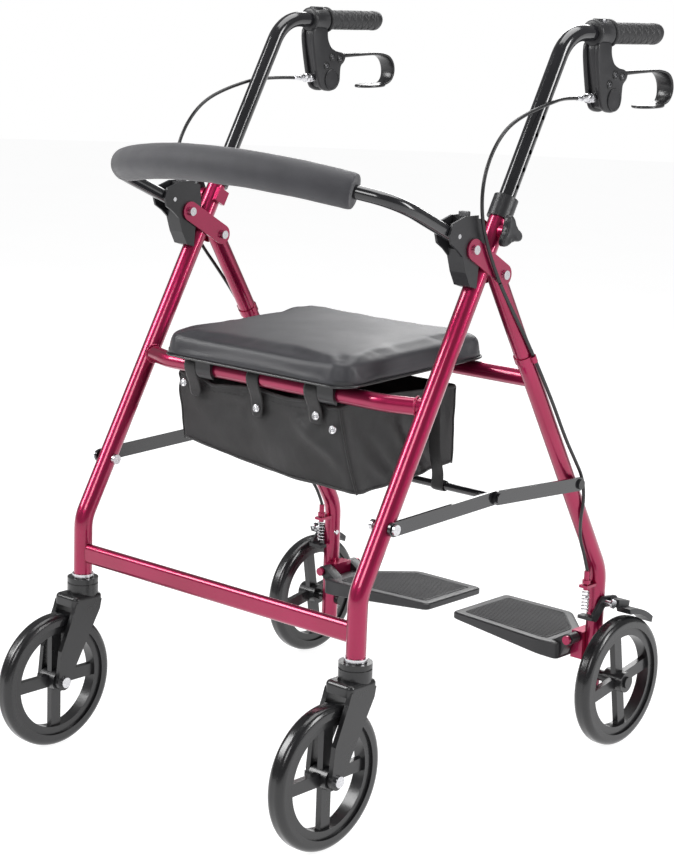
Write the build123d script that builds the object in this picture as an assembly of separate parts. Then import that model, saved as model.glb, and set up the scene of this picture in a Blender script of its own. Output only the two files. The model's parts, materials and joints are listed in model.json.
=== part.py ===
from build123d import *
import math
import os

# Four-wheeled rollator walker with a folding frame, seat, bag, backrest and loop brakes.
# Millimetres. +X is the user's left, -Y is the direction of travel, +Z is up.
# The origin is on the floor at the middle of the walker's footprint.

# ---- driving dimensions ----
WHEEL_R = 95.0          # 190 mm wheels
TYRE_W = 25.0
LEG_X = 255.0           # middle plane of each side frame
FRONT_Y = -232.3        # caster stem and upright foot of the front leg
RING_Z = 239.8          # lower end of the front leg
BEND_Z = 319.4          # where the front leg leans back
LEAN_F = 28.88          # front leg from vertical, degrees
COLLAR_Z0 = 782.8
COLLAR_Z1 = 800.4
LEG_R = 13.0
LEG_WALL = 1.5
REAR_LEG_R = 12.5
CROSSBAR_Z = 269.8
CROSSBAR_H = 28.0
CROSSBAR_D = 14.0
PIVOT = (17.6, 703.9)   # rear leg's pivot, Y and Z
PLATE_FRONT = (-48.1, 741.0)
LEAN_R = 32.07          # rear leg from vertical, degrees
REAR_Y = 300.4          # upright foot of the rear leg
REAR_BOTTOM_Z = 60.0
REAR_AXLE = (304.0, 95.0)
REAR_WHEEL_X = 297.3
CASTER_TRAIL = 52.2
SEAT_TUBE_R = 11.5
SEAT_FRONT = (-130.0, 542.5)   # seat's hinge axis, middle of the bowed front tube
SEAT_REAR_Z = 553.6
SEAT_HALF_W = 172.0
SEAT_DEPTH0 = -46.0     # pad's edges and faces, from the hinge axis
SEAT_DEPTH1 = 262.0
SEAT_TILT = 2.15
SEAT_Z0 = 17.7
SEAT_BOARD_T = 9.0
SEAT_TOP = 53.0
HANDLE_R = 11.1         # 22.2 mm handle tube
GRIP_Z = 1011.8
GRIP_Y0 = 242.0
GRIP_Y1 = 362.0
GRIP_R = 14.3
HANDLE_TRAVEL = 150.0
LEVER_PIVOT = (250.0, 956.0)
BRACE_FRONT_Z = 400.0   # front brace bolt, on the front leg
BRACE_MID = (21.7, 407.3)
BRACE_REAR_Z = 396.8    # rear brace bolt, on the rear leg
BRACE_T = 3.8
BRACE_W = 19.0
FOLD_DEG = 25.0
BACK_TILT = 23.5
BACK_BASE = (-57.0, 750.5)
BACK_X = 255.0
BACK_ARC_R = 463.0
BACK_PAD_X = 204.0
BACK_TOP_S = 212.0
BACK_BAR_R = 9.0
BACK_FOAM_R = 23.8
BACK_PIN_S = 22.0
BAG_X = 180.0
BAG_Y0, BAG_Y1 = -106.0, 70.0
BAG_Z0, BAG_Z1 = 420.0, 538.0
FOOT_HINGE = (238.5, 151.0)    # X and Z of the footrest's hinge
FOOT_Y0, FOOT_Y1 = 262.0, 398.0
CABLE_R = 2.4
Y_SHIFT = -11.7         # puts the origin under the middle of the whole box

os.makedirs("parts", exist_ok=True)
tanF = math.tan(math.radians(LEAN_F))
tanR = math.tan(math.radians(LEAN_R))
sinF, cosF = math.sin(math.radians(LEAN_F)), math.cos(math.radians(LEAN_F))
sinR, cosR = math.sin(math.radians(LEAN_R)), math.cos(math.radians(LEAN_R))
REAR_BEND_Z = PIVOT[1] - (REAR_Y - PIVOT[0]) / tanR


def leg_y(z):
    """Y of the front leg's centre line at height z."""
    return FRONT_Y if z < BEND_Z else FRONT_Y + tanF * (z - BEND_Z)


def rear_y(z):
    """Y of the rear leg's centre line at height z."""
    return PIVOT[0] + tanR * (PIVOT[1] - z)


BRACE_FRONT = (leg_y(BRACE_FRONT_Z), BRACE_FRONT_Z)
BRACE_REAR = (rear_y(BRACE_REAR_Z), BRACE_REAR_Z)
SEAT_REAR = (rear_y(SEAT_REAR_Z), SEAT_REAR_Z)


# ---- helpers ----
def plane_at(p, d):
    d = Vector(*d).normalized()
    ref = Vector(1, 0, 0) if abs(d.X) < 0.9 else Vector(0, 1, 0)
    return Plane(origin=p, x_dir=ref - d * ref.dot(d), z_dir=d)


def rod(p, q, r):
    p, q = Vector(*p), Vector(*q)
    return Solid.make_cylinder(r, (q - p).length, plane_at(p, q - p))


def ring(p, q, r, bore):
    p, q = Vector(*p), Vector(*q)
    d = (q - p).normalized()
    return Solid.make_cylinder(r, (q - p).length, plane_at(p, d)) - Solid.make_cylinder(
        bore, (q - p).length + 2, plane_at(p - d, d)
    )


def rounded(points, radii):
    """A wire of straight runs joined by tangent arcs."""
    pts = [Vector(*p) for p in points]
    if len(pts) == 2:
        return Wire([Edge.make_line(pts[0], pts[1])])
    edges, at = [], pts[0]
    for i in range(1, len(pts) - 1):
        a = (pts[i - 1] - pts[i]).normalized()
        b = (pts[i + 1] - pts[i]).normalized()
        turn = math.radians(180 - a.get_angle(b))
        cut = radii[i - 1] * math.tan(turn / 2)
        s, e = pts[i] + a * cut, pts[i] + b * cut
        bis = (a + b).normalized()
        mid = pts[i] + bis * (radii[i - 1] / math.cos(turn / 2) - radii[i - 1])
        if (s - at).length > 1e-6:
            edges.append(Edge.make_line(at, s))
        edges.append(Edge.make_three_point_arc(s, mid, e))
        at = e
    edges.append(Edge.make_line(at, pts[-1]))
    return Wire(edges)


def auto_radii(points, most=1e9, k=0.45):
    """As large an arc at each corner as its two runs allow."""
    pts = [Vector(*p) for p in points]
    out = []
    for i in range(1, len(pts) - 1):
        a, b = pts[i - 1] - pts[i], pts[i + 1] - pts[i]
        turn = math.radians(180 - a.get_angle(b))
        out.append(min(most, k * min(a.length, b.length) / math.tan(turn / 2)))
    return out


def pipe(wire, r, bore=None):
    p, d = wire @ 0, wire % 0
    face = Face(Wire.make_circle(r, plane_at(p, d)))
    s = Solid.sweep(face, wire)
    if bore:
        s = s - Solid.sweep(Face(Wire.make_circle(bore, plane_at(p, d))), wire)
    return s


def slab(points, x0, x1):
    """A shape drawn in Y and Z, with thickness from x0 to x1."""
    f = Face(Wire.make_polygon([(x0, y, z) for y, z in points], close=True))
    return Solid.extrude(f, Vector(x1 - x0, 0, 0))


def stadium(a, b, r, x0, x1):
    """A flat link with round ends, drawn in Y and Z."""
    dy, dz = b[0] - a[0], b[1] - a[1]
    n = math.hypot(dy, dz)
    uy, uz = dy / n, dz / n
    ny, nz = -uz * r, uy * r
    e = [
        Edge.make_line((x0, a[0] + ny, a[1] + nz), (x0, b[0] + ny, b[1] + nz)),
        Edge.make_three_point_arc(
            (x0, b[0] + ny, b[1] + nz), (x0, b[0] + uy * r, b[1] + uz * r), (x0, b[0] - ny, b[1] - nz)
        ),
        Edge.make_line((x0, b[0] - ny, b[1] - nz), (x0, a[0] - ny, a[1] - nz)),
        Edge.make_three_point_arc(
            (x0, a[0] - ny, a[1] - nz), (x0, a[0] - uy * r, a[1] - uz * r), (x0, a[0] + ny, a[1] + nz)
        ),
    ]
    return Solid.extrude(Face(Wire(e)), Vector(x1 - x0, 0, 0))


def block(x0, x1, y0, y1, z0, z1):
    return Pos((x0 + x1) / 2, (y0 + y1) / 2, (z0 + z1) / 2) * Box(x1 - x0, y1 - y0, z1 - z0)


def other(s):
    """The same piece on the right-hand side."""
    return mirror(s, about=Plane.YZ)


def solids_of(s):
    if isinstance(s, (list, tuple)):
        return [k for t in s for k in solids_of(t)]
    return list(s.solids())


count = 0


def write(name, shape):
    global count
    parts = solids_of(shape)
    moved = [Pos(0, Y_SHIFT, 0) * k for k in parts]
    out = moved[0] if len(moved) == 1 else Compound(children=moved)
    out.label = name
    export_step(out, f"parts/{name}.step")
    count += 1


def both(name, shape):
    write(name + "_left", shape)
    write(name + "_right", [other(k) for k in solids_of(shape)])


# ---- front frame ----
top = (LEG_X, leg_y(COLLAR_Z0 + 4), COLLAR_Z0 + 4)
leg_line = rounded([(LEG_X, FRONT_Y, RING_Z), (LEG_X, FRONT_Y, BEND_Z), top], [55])
front_leg = pipe(leg_line, LEG_R, LEG_R - LEG_WALL)
front_leg -= rod((LEG_X - 30, *BRACE_FRONT), (LEG_X + 30, *BRACE_FRONT), 4.1)
KNOB_Z = 759.7
KNOB = (leg_y(KNOB_Z), KNOB_Z)
front_leg -= rod((LEG_X, *KNOB), (LEG_X + 30, *KNOB), 4.4)
both("front_leg", front_leg)

# flat-oval lower crossbar, welded between the upright feet
half = LEG_X - math.sqrt(LEG_R**2 - (CROSSBAR_D / 2) ** 2) + 0.0
oval = stadium(
    (FRONT_Y, CROSSBAR_Z - (CROSSBAR_H - CROSSBAR_D) / 2),
    (FRONT_Y, CROSSBAR_Z + (CROSSBAR_H - CROSSBAR_D) / 2),
    CROSSBAR_D / 2, -LEG_X, LEG_X,
)
inner = stadium(
    (FRONT_Y, CROSSBAR_Z - (CROSSBAR_H - CROSSBAR_D) / 2),
    (FRONT_Y, CROSSBAR_Z + (CROSSBAR_H - CROSSBAR_D) / 2),
    CROSSBAR_D / 2 - 1.5, -LEG_X - 1, LEG_X + 1,
)
foot_cut = rod((LEG_X, FRONT_Y, 200), (LEG_X, FRONT_Y, 300), LEG_R + 0.02)
write("lower_crossbar", oval - inner - foot_cut - other(foot_cut))

# seat's front tube: bowed forward between the front legs
seat_leg_y = leg_y(SEAT_FRONT[1])
fy, fz = SEAT_FRONT
bow = [(-LEG_X, seat_leg_y, fz), (-196, fy, fz), (196, fy, fz), (LEG_X, seat_leg_y, fz)]
seat_front_tube = pipe(rounded(bow, [70, 70]), SEAT_TUBE_R, SEAT_TUBE_R - 1.5)
leg_cut = rod((LEG_X, leg_y(450), 450), (LEG_X, leg_y(650), 650), LEG_R + 0.02)
tube_parts = sorted(solids_of(seat_front_tube - leg_cut - other(leg_cut)), key=lambda s: -s.volume)
write("seat_front_tube", tube_parts[0])

# pivot plates, one pair on each leg
plates = []
for x0, x1 in ((LEG_X + LEG_R, LEG_X + LEG_R + 3), (LEG_X - LEG_R - 3, LEG_X - LEG_R)):
    p = stadium(PLATE_FRONT, PIVOT, 14.0, x0, x1)
    for c in (PLATE_FRONT, PIVOT):
        p -= rod((x0 - 5, *c), (x1 + 5, *c), 4.0)
    plates.append(p)
write("pivot_plates", plates + [other(p) for p in plates])

# plastic collars in the tops of the front legs, guiding the handle tubes
c0 = Vector(LEG_X, leg_y(COLLAR_Z0 + 4), COLLAR_Z0 + 4)
up_leg = Vector(0, sinF, cosF)
collar = ring(c0, c0 + up_leg * 16, 16.5, HANDLE_R + 0.05)
skirt = ring(c0 - up_leg * 14, c0 - up_leg * 0.0, 16.5, LEG_R + 0.03)
collar = collar + skirt
write("leg_collars", [collar, other(collar)])

# square clamp bosses opposite the height knobs
inner_side = Vector(LEG_X - LEG_R, *KNOB)
boss_plane = Plane(origin=(LEG_X - LEG_R - 3.5, *KNOB), x_dir=(0, cosF, -sinF), z_dir=(1, 0, 0))
boss = boss_plane * Box(20, 20, 7)
boss -= rod((LEG_X, leg_y(700), 700), (LEG_X, leg_y(800), 800), LEG_R + 0.02)
boss_outer = Plane(origin=(LEG_X + LEG_R + 2.5, *KNOB), x_dir=(0, cosF, -sinF), z_dir=(1, 0, 0)) * Cylinder(10, 7)
boss_outer -= rod((LEG_X, leg_y(700), 700), (LEG_X, leg_y(800), 800), LEG_R + 0.02)
boss_outer -= rod((LEG_X, *KNOB), (LEG_X + 40, *KNOB), 4.05)
write("clamp_bosses", [solids_of(boss), solids_of(boss_outer), [other(k) for k in solids_of(boss)], [other(k) for k in solids_of(boss_outer)]])


# backrest brackets: a clevis in front of each leg, held between the pivot plates
def back_pt(x, s):
    t = math.radians(BACK_TILT)
    return (x, BACK_BASE[0] - s * math.cos(t), BACK_BASE[1] + s * math.sin(t))


PIN = back_pt(0, BACK_PIN_S)[1:]
body_yz = [(-28, 778), (-66, 784), (-66, 752), (-72, 742), (-62, 712), (-52, 694), (-38, 690), (-36, 716), (-24, 735)]
bw = LEG_R - 0.1
bracket = slab(body_yz, LEG_X - bw, LEG_X + bw)
cheek_yz = [(-40, 784), (-66, 784), (-92, 776), (-97, 762), (-93, 750), (-80, 742), (-66, 730), (-40, 730)]
for x0, x1 in ((LEG_X - bw, LEG_X - 9.6), (LEG_X + 9.6, LEG_X + bw)):
    bracket = bracket + slab(cheek_yz, x0, x1)
# room for the bar's end and its swing
bracket -= rod((LEG_X - 9.6, *PIN), (LEG_X + 9.6, *PIN), 11.5)
bracket -= block(LEG_X - 9.6, LEG_X + 9.6, -120, PIN[0], 700, 790)
bracket -= slab([(PIN[0] - 1, PIN[1]), (PIN[0] - 1, 800), (-62, 800), (-66.2, PIN[1])], LEG_X - 9.6, LEG_X + 9.6)
bracket -= rod((LEG_X - 20, *PIN), (LEG_X + 20, *PIN), 3.0)
bracket -= rod((LEG_X - 20, *PLATE_FRONT), (LEG_X + 20, *PLATE_FRONT), 4.0)
bracket -= rod((LEG_X, leg_y(650), 650), (LEG_X, leg_y(850), 850), LEG_R + 0.4)
bracket -= block(LEG_X - 6.5, LEG_X + 6.5, -58.5, -48.5, 762, 800)
bp = sorted(solids_of(bracket), key=lambda s: -s.volume)[0]
write("backrest_brackets", [bp, other(bp)])

# bolts held by the front frame: plate bolts, pivot bolts, front brace bolts, backrest pins
bolts = []


def bolt(y, z, x0, x1, r, head=7.0, t=4.5, nut=6.5):
    b = rod((x0, y, z), (x1, y, z), r)
    b = b + rod((x1, y, z), (x1 + t, y, z), head)
    b = b + rod((x0 - nut, y, z), (x0, y, z), head)
    return b


bolts.append(bolt(*PLATE_FRONT, LEG_X - LEG_R - 3, LEG_X + LEG_R + 3, 4.0, 6.0, 3.5, 5))
bolts.append(bolt(*PIVOT, LEG_X - LEG_R - 3, LEG_X + LEG_R + 3, 4.0, 6.0, 3.5, 5))
bolts.append(bolt(*BRACE_FRONT, LEG_X - LEG_R - 1.5, LEG_X + LEG_R + 1.0 + BRACE_T + 0.6, 4.0, 7.0, 3.5, 5))
pin = rod((LEG_X - bw, *PIN), (LEG_X + bw, *PIN), 3.0)
bolts.append(pin)
write("frame_bolts", [bolts, [other(b) for b in bolts]])

# bushes in the feet of the front legs, for the caster stems
bush = ring((LEG_X, FRONT_Y, RING_Z), (LEG_X, FRONT_Y, RING_Z + 26), LEG_R - LEG_WALL - 0.02, 6.05)
bush = bush + ring((LEG_X, FRONT_Y, RING_Z - 5), (LEG_X, FRONT_Y, RING_Z), LEG_R + 2, 6.05)
write("caster_bushes", [bush, other(bush)])

# ---- storage bag, open at the top ----
bag_out = block(-BAG_X, BAG_X, BAG_Y0, BAG_Y1, BAG_Z0, BAG_Z1)
bag_out = fillet(bag_out.edges().filter_by(Axis.X).group_by(Axis.Z)[0], 22)
bag_out = fillet(bag_out.edges().filter_by(Axis.Z), 14)
bag_in = block(-BAG_X + 3, BAG_X - 3, BAG_Y0 + 3, BAG_Y1 - 3, BAG_Z0 + 3, BAG_Z1 + 10)
bag_in = fillet(bag_in.edges().filter_by(Axis.X).group_by(Axis.Z)[0], 19)
bag_in = fillet(bag_in.edges().filter_by(Axis.Z), 11)
write("storage_bag", bag_out - bag_in)

# ---- seat ----
seat_place = Pos(0, fy, fz) * Rot(SEAT_TILT, 0, 0)


def seat_block(x0, x1, y0, y1, z0, z1, r):
    b = block(x0, x1, y0, y1, z0, z1)
    return fillet(b.edges().filter_by(Axis.Z), r)


board = seat_block(-SEAT_HALF_W + 5, SEAT_HALF_W - 5, SEAT_DEPTH0 + 5, SEAT_DEPTH1 - 5, SEAT_Z0, SEAT_Z0 + SEAT_BOARD_T, 24)
write("seat_board", seat_place * board)
pad = seat_block(-SEAT_HALF_W, SEAT_HALF_W, SEAT_DEPTH0, SEAT_DEPTH1, SEAT_Z0 + SEAT_BOARD_T, SEAT_TOP, 28)
pad = fillet(pad.edges().group_by(Axis.Z)[-1], 10)
write("seat_pad", seat_place * pad)
# saddle clips that let the seat tip up on the front tube, and bumpers over the rear tube
clips = []
for x in (-112, 112):
    c = block(x - 14, x + 14, -16, 16, 0, SEAT_Z0) + rod((x - 14, 0, 0), (x + 14, 0, 0), 16)
    c -= rod((x - 20, 0, 0), (x + 20, 0, 0), SEAT_TUBE_R + 0.3)
    c -= block(x - 20, x + 20, -7.5, 7.5, -20, -2)
    clips.append(seat_place * c)
t = math.radians(SEAT_TILT)
ry = (SEAT_REAR[0] - fy) * math.cos(t) + (SEAT_REAR[1] - fz) * math.sin(t)
rz = -(SEAT_REAR[0] - fy) * math.sin(t) + (SEAT_REAR[1] - fz) * math.cos(t)
for x in (-130, 130):
    b = block(x - 14, x + 14, ry - 12, ry + 12, rz + SEAT_TUBE_R + 0.6, SEAT_Z0)
    clips.append(seat_place * b)
write("seat_clips", clips)

# ---- backrest ----
arc_c = BACK_TOP_S - BACK_ARC_R
pad_s = arc_c + math.sqrt(BACK_ARC_R**2 - BACK_PAD_X**2)
slope = BACK_PAD_X / math.sqrt(BACK_ARC_R**2 - BACK_PAD_X**2)
corner_s = pad_s - (BACK_X - BACK_PAD_X) * slope
turn = math.pi / 2 - math.atan(slope)
CR = 58.0
cut = CR * math.tan(turn / 2)
u = (1 / math.hypot(1, slope), -slope / math.hypot(1, slope))  # outward along the pad end's tangent
s1 = (BACK_X, corner_s - cut)
e1 = (BACK_X - u[0] * cut, corner_s - u[1] * cut)
bis = ((-u[0]) / 2, (-1 - u[1]) / 2)
bl = math.hypot(*bis)
dist = CR / math.cos(turn / 2) - CR
mid1 = (BACK_X + bis[0] / bl * dist, corner_s + bis[1] / bl * dist)


def b3(p, sx=1):
    return Vector(*back_pt(sx * p[0], p[1]))


start = (BACK_X, BACK_PIN_S - 6.0)
edges = [
    Edge.make_line(b3(start, -1), b3(s1, -1)),
    Edge.make_three_point_arc(b3(s1, -1), b3(mid1, -1), b3(e1, -1)),
    Edge.make_line(b3(e1, -1), b3((BACK_PAD_X, pad_s), -1)),
    Edge.make_three_point_arc(b3((BACK_PAD_X, pad_s), -1), b3((0, BACK_TOP_S)), b3((BACK_PAD_X, pad_s))),
    Edge.make_line(b3((BACK_PAD_X, pad_s)), b3(e1)),
    Edge.make_three_point_arc(b3(e1), b3(mid1), b3(s1)),
    Edge.make_line(b3(s1), b3(start)),
]
bar = pipe(Wire(edges), BACK_BAR_R)
for sx in (-1, 1):
    bar -= rod((sx * BACK_X - 20, *PIN), (sx * BACK_X + 20, *PIN), 3.06)
write("backrest_bar", bar)
foam_arc = Wire([edges[3]])
foam = pipe(foam_arc, BACK_FOAM_R, BACK_BAR_R + 0.05)
write("backrest_foam", foam)

# sprung lock tabs in the brackets
tab = block(LEG_X - 6, LEG_X + 6, -58.0, -49.0, 767, 789)
tab = fillet(tab.edges().group_by(Axis.Z)[-1], 1.5)
both("backrest_lock_tab", tab)

# ---- handles ----
h0z = 672.0
handle_line = rounded(
    [(LEG_X, leg_y(h0z), h0z), (LEG_X, leg_y(GRIP_Z), GRIP_Z), (LEG_X, GRIP_Y1 - 6, GRIP_Z)], [60]
)
handle = pipe(handle_line, HANDLE_R, HANDLE_R - 1.5)
for i in range(7):
    z = KNOB_Z + 12 + i * 25 * cosF
    p = (leg_y(z), z)
    handle -= rod((LEG_X + 4, *p), (LEG_X + 30, *p), 3.2)
both("handle_tube", handle)
grip = ring((LEG_X, GRIP_Y0, GRIP_Z), (LEG_X, GRIP_Y1 - 6, GRIP_Z), GRIP_R, HANDLE_R + 0.03)
grip = grip + rod((LEG_X, GRIP_Y1 - 6, GRIP_Z), (LEG_X, GRIP_Y1, GRIP_Z), GRIP_R)
grip = grip + ring((LEG_X, GRIP_Y0 - 2, GRIP_Z), (LEG_X, GRIP_Y0 + 4, GRIP_Z), 19.0, HANDLE_R + 0.03)
both("grip", grip)

HX = 11.0   # half width of the brake housing
house_yz = [(206, 1002), (237, 1002), (238, 978), (262, 970), (276, 962), (277, 950), (270, 944),
            (262, 938), (262, 922), (254, 913), (236, 912), (228, 918), (222, 940), (212, 960), (206, 985)]
house = slab(house_yz, LEG_X - HX, LEG_X + HX)
house = house + rod((LEG_X, 206, GRIP_Z), (LEG_X, 237, GRIP_Z), 16.5)
house -= rod((LEG_X, 190, GRIP_Z), (LEG_X, 300, GRIP_Z), HANDLE_R + 0.03)
# room for the lever's root between the housing's cheeks
house -= block(LEG_X - 6.5, LEG_X + 6.5, 233, 300, 930, 990)
house -= block(LEG_X - 6.5, LEG_X + 6.5, 240, 300, 900, 990)
# lever pin, and the barrel that the cable leaves through
house_pin = rod((LEG_X - HX - 1, *LEVER_PIVOT), (LEG_X + HX + 1, *LEVER_PIVOT), 3.0)
house = house + house_pin
barrel = rod((LEG_X, 190, 926), (LEG_X, 232, 926), 4.5) + rod((LEG_X, 202, 926), (LEG_X, 210, 926), 6.0)
house = house + barrel
hs = solids_of(house)
print("housing solids", len(hs))
both("brake_housing", house)

# loop brake lever: a band that runs back under the grip and curls forward to a finger pad
lever_mid = rounded(
    [(LEG_X, 250, 956), (LEG_X, 403, 957), (LEG_X, 398, 914), (LEG_X, 332, 914)], [19, 17]
)
band_plane = Plane(origin=lever_mid @ 0, x_dir=(1, 0, 0), z_dir=lever_mid % 0)
band = Solid.sweep(Face(Wire.make_polygon([band_plane.from_local_coords(Vector(a, b)) for a, b in ((-10, -2.5), (10, -2.5), (10, 2.5), (-10, 2.5))], close=True)), lever_mid)
# narrow root between the cheeks
band -= block(LEG_X - 20, LEG_X - 6.0, 230, 281, 940, 972)
band -= block(LEG_X + 6.0, LEG_X + 20, 230, 281, 940, 972)
root = rod((LEG_X - 6, *LEVER_PIVOT), (LEG_X + 6, *LEVER_PIVOT), 8.5)
lever = band + root + slab([(250, 948), (276, 952), (290, 955), (290, 959), (250, 963)], LEG_X - 6, LEG_X + 6)
padp = Plane(origin=(LEG_X, 352, 914), x_dir=(0, 1, 0), z_dir=(0, 0, 1)) * extrude(Ellipse(28, 20), 4, both=True)
lever = lever + padp
lever -= rod((LEG_X - 30, *LEVER_PIVOT), (LEG_X + 30, *LEVER_PIVOT), 3.06)
lever_solids = solids_of(lever)
print("lever solids", len(lever_solids))
both("brake_lever", lever)

# height knobs: lobed heads on short studs
kx0 = LEG_X + LEG_R + 7.0
knob = rod((kx0, *KNOB), (kx0 + 12, *KNOB), 13.0)
knob_plane = Plane(origin=(kx0 - 0.0, *KNOB), x_dir=(0, 1, 0), z_dir=(1, 0, 0))
for i in range(6):
    a = math.radians(60 * i)
    y, z = KNOB[0] + 16.5 * math.cos(a), KNOB[1] + 16.5 * math.sin(a)
    knob -= rod((kx0 - 1, y, z), (kx0 + 15, y, z), 5.5)
knob = knob + rod((LEG_X + HANDLE_R + 0.5, *KNOB), (kx0 + 1, *KNOB), 4.0)
both("height_knob", knob)

# ---- rear frame ----
rear_line = rounded(
    [(LEG_X, PIVOT[0] - sinR * 12, PIVOT[1] + cosR * 12), (LEG_X, REAR_Y, REAR_BEND_Z), (LEG_X, REAR_Y, REAR_BOTTOM_Z)],
    [60],
)
rear_leg = pipe(rear_line, REAR_LEG_R, REAR_LEG_R - 1.5)
rear_leg -= rod((LEG_X - 30, *PIVOT), (LEG_X + 30, *PIVOT), 4.06)
rear_leg -= rod((LEG_X - 30, *REAR_AXLE), (LEG_X + 30, *REAR_AXLE), 5.0)
BRAKE_PIN = (296.4, 208.2)
rear_leg -= rod((LEG_X - 30, *BRAKE_PIN), (LEG_X + 30, *BRAKE_PIN), 3.5)
both("rear_leg", rear_leg)

ry0, rz0 = SEAT_REAR
srt = ring((-LEG_X, ry0, rz0), (LEG_X, ry0, rz0), SEAT_TUBE_R, SEAT_TUBE_R - 1.5)
rcut = rod((LEG_X, rear_y(650), 650), (LEG_X, rear_y(450), 450), REAR_LEG_R + 0.02)
srt = sorted(solids_of(srt - rcut - other(rcut)), key=lambda s: -s.volume)[0]
write("seat_rear_tube", srt)

# rear axles, with their heads outside the hubs, and the brake arm pins
axle = rod((LEG_X - 16, *REAR_AXLE), (REAR_WHEEL_X + 18, *REAR_AXLE), 5.0)
axle = axle + rod((REAR_WHEEL_X + 17, *REAR_AXLE), (REAR_WHEEL_X + 20, *REAR_AXLE), 8.5)
axle = axle + rod((LEG_X - 20, *REAR_AXLE), (LEG_X - 13, *REAR_AXLE), 8.0)
axle = axle + ring((LEG_X + 12.5, *REAR_AXLE), (REAR_WHEEL_X - 16.6, *REAR_AXLE), 8.0, 4.0)
bpin = rod((LEG_X - 14, *BRAKE_PIN), (LEG_X + 34, *BRAKE_PIN), 3.5) + rod((LEG_X + 31, *BRAKE_PIN), (LEG_X + 34, *BRAKE_PIN), 6.5)
write("rear_axles", [axle, other(axle)])

# cable stops: a tab in front of each rear leg with the adjuster barrel
STOP_Y, STOP_Z = 273.0, 233.0
stop = block(LEG_X - 7, LEG_X + 7, STOP_Y - 8, REAR_Y - 6, STOP_Z - 2, STOP_Z + 2)
stop -= rod((LEG_X, REAR_Y, 200), (LEG_X, REAR_Y, 260), REAR_LEG_R + 0.02)
stop = sorted(solids_of(stop), key=lambda s: -s.volume)[0]
adj = ring((LEG_X, STOP_Y, STOP_Z - 6), (LEG_X, STOP_Y, STOP_Z + 22), 4.0, 1.2) + ring((LEG_X, STOP_Y, STOP_Z + 4), (LEG_X, STOP_Y, STOP_Z + 9), 6.0, 1.2)
stop = stop + adj

# brake cable's lower wire and return springs, between the stop and the brake arm
ARM_FRONT = (STOP_Y, 188.0)
spring_helix = Edge.make_helix(pitch=5.0, height=30.0, radius=5.0, center=(0, 0, 0), normal=(0, 0, 1))
sp = Solid.sweep(Face(Wire.make_circle(0.8, Plane(origin=spring_helix @ 0, z_dir=spring_helix % 0))), Wire([spring_helix]))
spring = Pos(LEG_X, STOP_Y, ARM_FRONT[1] + 7.5) * sp
write("brake_springs", [spring, other(spring)])

# brake arms on the outer side of the rear legs, with a shoe over each tyre
ax0, ax1 = LEG_X + REAR_LEG_R + 1.0, LEG_X + REAR_LEG_R + 5.0
arm = stadium((STOP_Y + 4, 190), BRAKE_PIN, 8.0, ax0, ax1)
arm = arm + stadium(BRAKE_PIN, (322, 205), 8.0, ax0, ax1)
arm = arm + block(LEG_X - 7, ax1, STOP_Y - 7, STOP_Y + 6, 185, 190)
arc_gap = WHEEL_R + 4.5
shoe_yz = [(306, 212)]
for a in range(88, 48, -4):
    shoe_yz.append((REAR_AXLE[0] + (arc_gap + 8) * math.cos(math.radians(a)), REAR_AXLE[1] + (arc_gap + 8) * math.sin(math.radians(a))))
for a in range(50, 90, 4):
    shoe_yz.append((REAR_AXLE[0] + arc_gap * math.cos(math.radians(a)), REAR_AXLE[1] + arc_gap * math.sin(math.radians(a))))
shoe = slab(shoe_yz[1:], REAR_WHEEL_X - 12, REAR_WHEEL_X + 12)
arm = arm + shoe + slab([(306, 201), (306, 213), (334, 207), (332, 197)], ax0, REAR_WHEEL_X - 6)
arm -= rod((LEG_X, *BRAKE_PIN), (LEG_X + 60, *BRAKE_PIN), 3.56)
wheel_space = rod((REAR_WHEEL_X - 20, *REAR_AXLE), (REAR_WHEEL_X + 20, *REAR_AXLE), arc_gap)
arm -= wheel_space
arm_s = sorted(solids_of(arm), key=lambda s: -s.volume)
print("brake arm solids", len(arm_s), [round(s.volume) for s in arm_s])
both("brake_arm", arm_s[0])
write("brake_pins", [bpin, other(bpin)])

# footrest brackets: a hinge block and pin on each rear leg's foot
fb = block(FOOT_HINGE[0] - 9, LEG_X - 6, 281, 319, 119, 160)
fb = fb - rod((LEG_X, REAR_Y, 60), (LEG_X, REAR_Y, 240), REAR_LEG_R + 0.02)
fb = sorted(solids_of(fb), key=lambda s: -s.volume)[0]
fb = fb + rod((FOOT_HINGE[0], 258, FOOT_HINGE[1]), (FOOT_HINGE[0], 342, FOOT_HINGE[1]), 3.5)
fb = fb + rod((FOOT_HINGE[0], 254, FOOT_HINGE[1]), (FOOT_HINGE[0], 258.5, FOOT_HINGE[1]), 6.5)
fb = fb + rod((FOOT_HINGE[0], 341.5, FOOT_HINGE[1]), (FOOT_HINGE[0], 346, FOOT_HINGE[1]), 6.5)
write("footrest_brackets", [fb, other(fb)])

# footrests, which flip up about pins along Y
plan = [(24, 262), (24, 398), (150, 398), (207, 338), (226, 330), (226, 250), (193, 246)]
plate = Solid.extrude(Face(Wire.make_polygon([(x, y, 127) for x, y in plan], close=True)), Vector(0, 0, 17.4))
plate = fillet(plate.edges().filter_by(Axis.Z), 7)
for y0, y1 in ((259.5, 280), (320, 340.5)):
    k = rod((FOOT_HINGE[0], y0, FOOT_HINGE[1]), (FOOT_HINGE[0], y1, FOOT_HINGE[1]), 8.0)
    w = Solid.extrude(Face(Wire.make_polygon([(FOOT_HINGE[0], y0, 158.5), (FOOT_HINGE[0] - 8, y0, 157), (205, y0, 144), (205, y0, 129), (226, y0, 128), (FOOT_HINGE[0], y0, 144)], close=True)), Vector(0, y1 - y0, 0))
    plate = plate + k + w
plate -= rod((FOOT_HINGE[0], 200, FOOT_HINGE[1]), (FOOT_HINGE[0], 400, FOOT_HINGE[1]), 3.56)
ps = sorted(solids_of(plate), key=lambda s: -s.volume)
print("footrest solids", len(ps))
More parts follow.
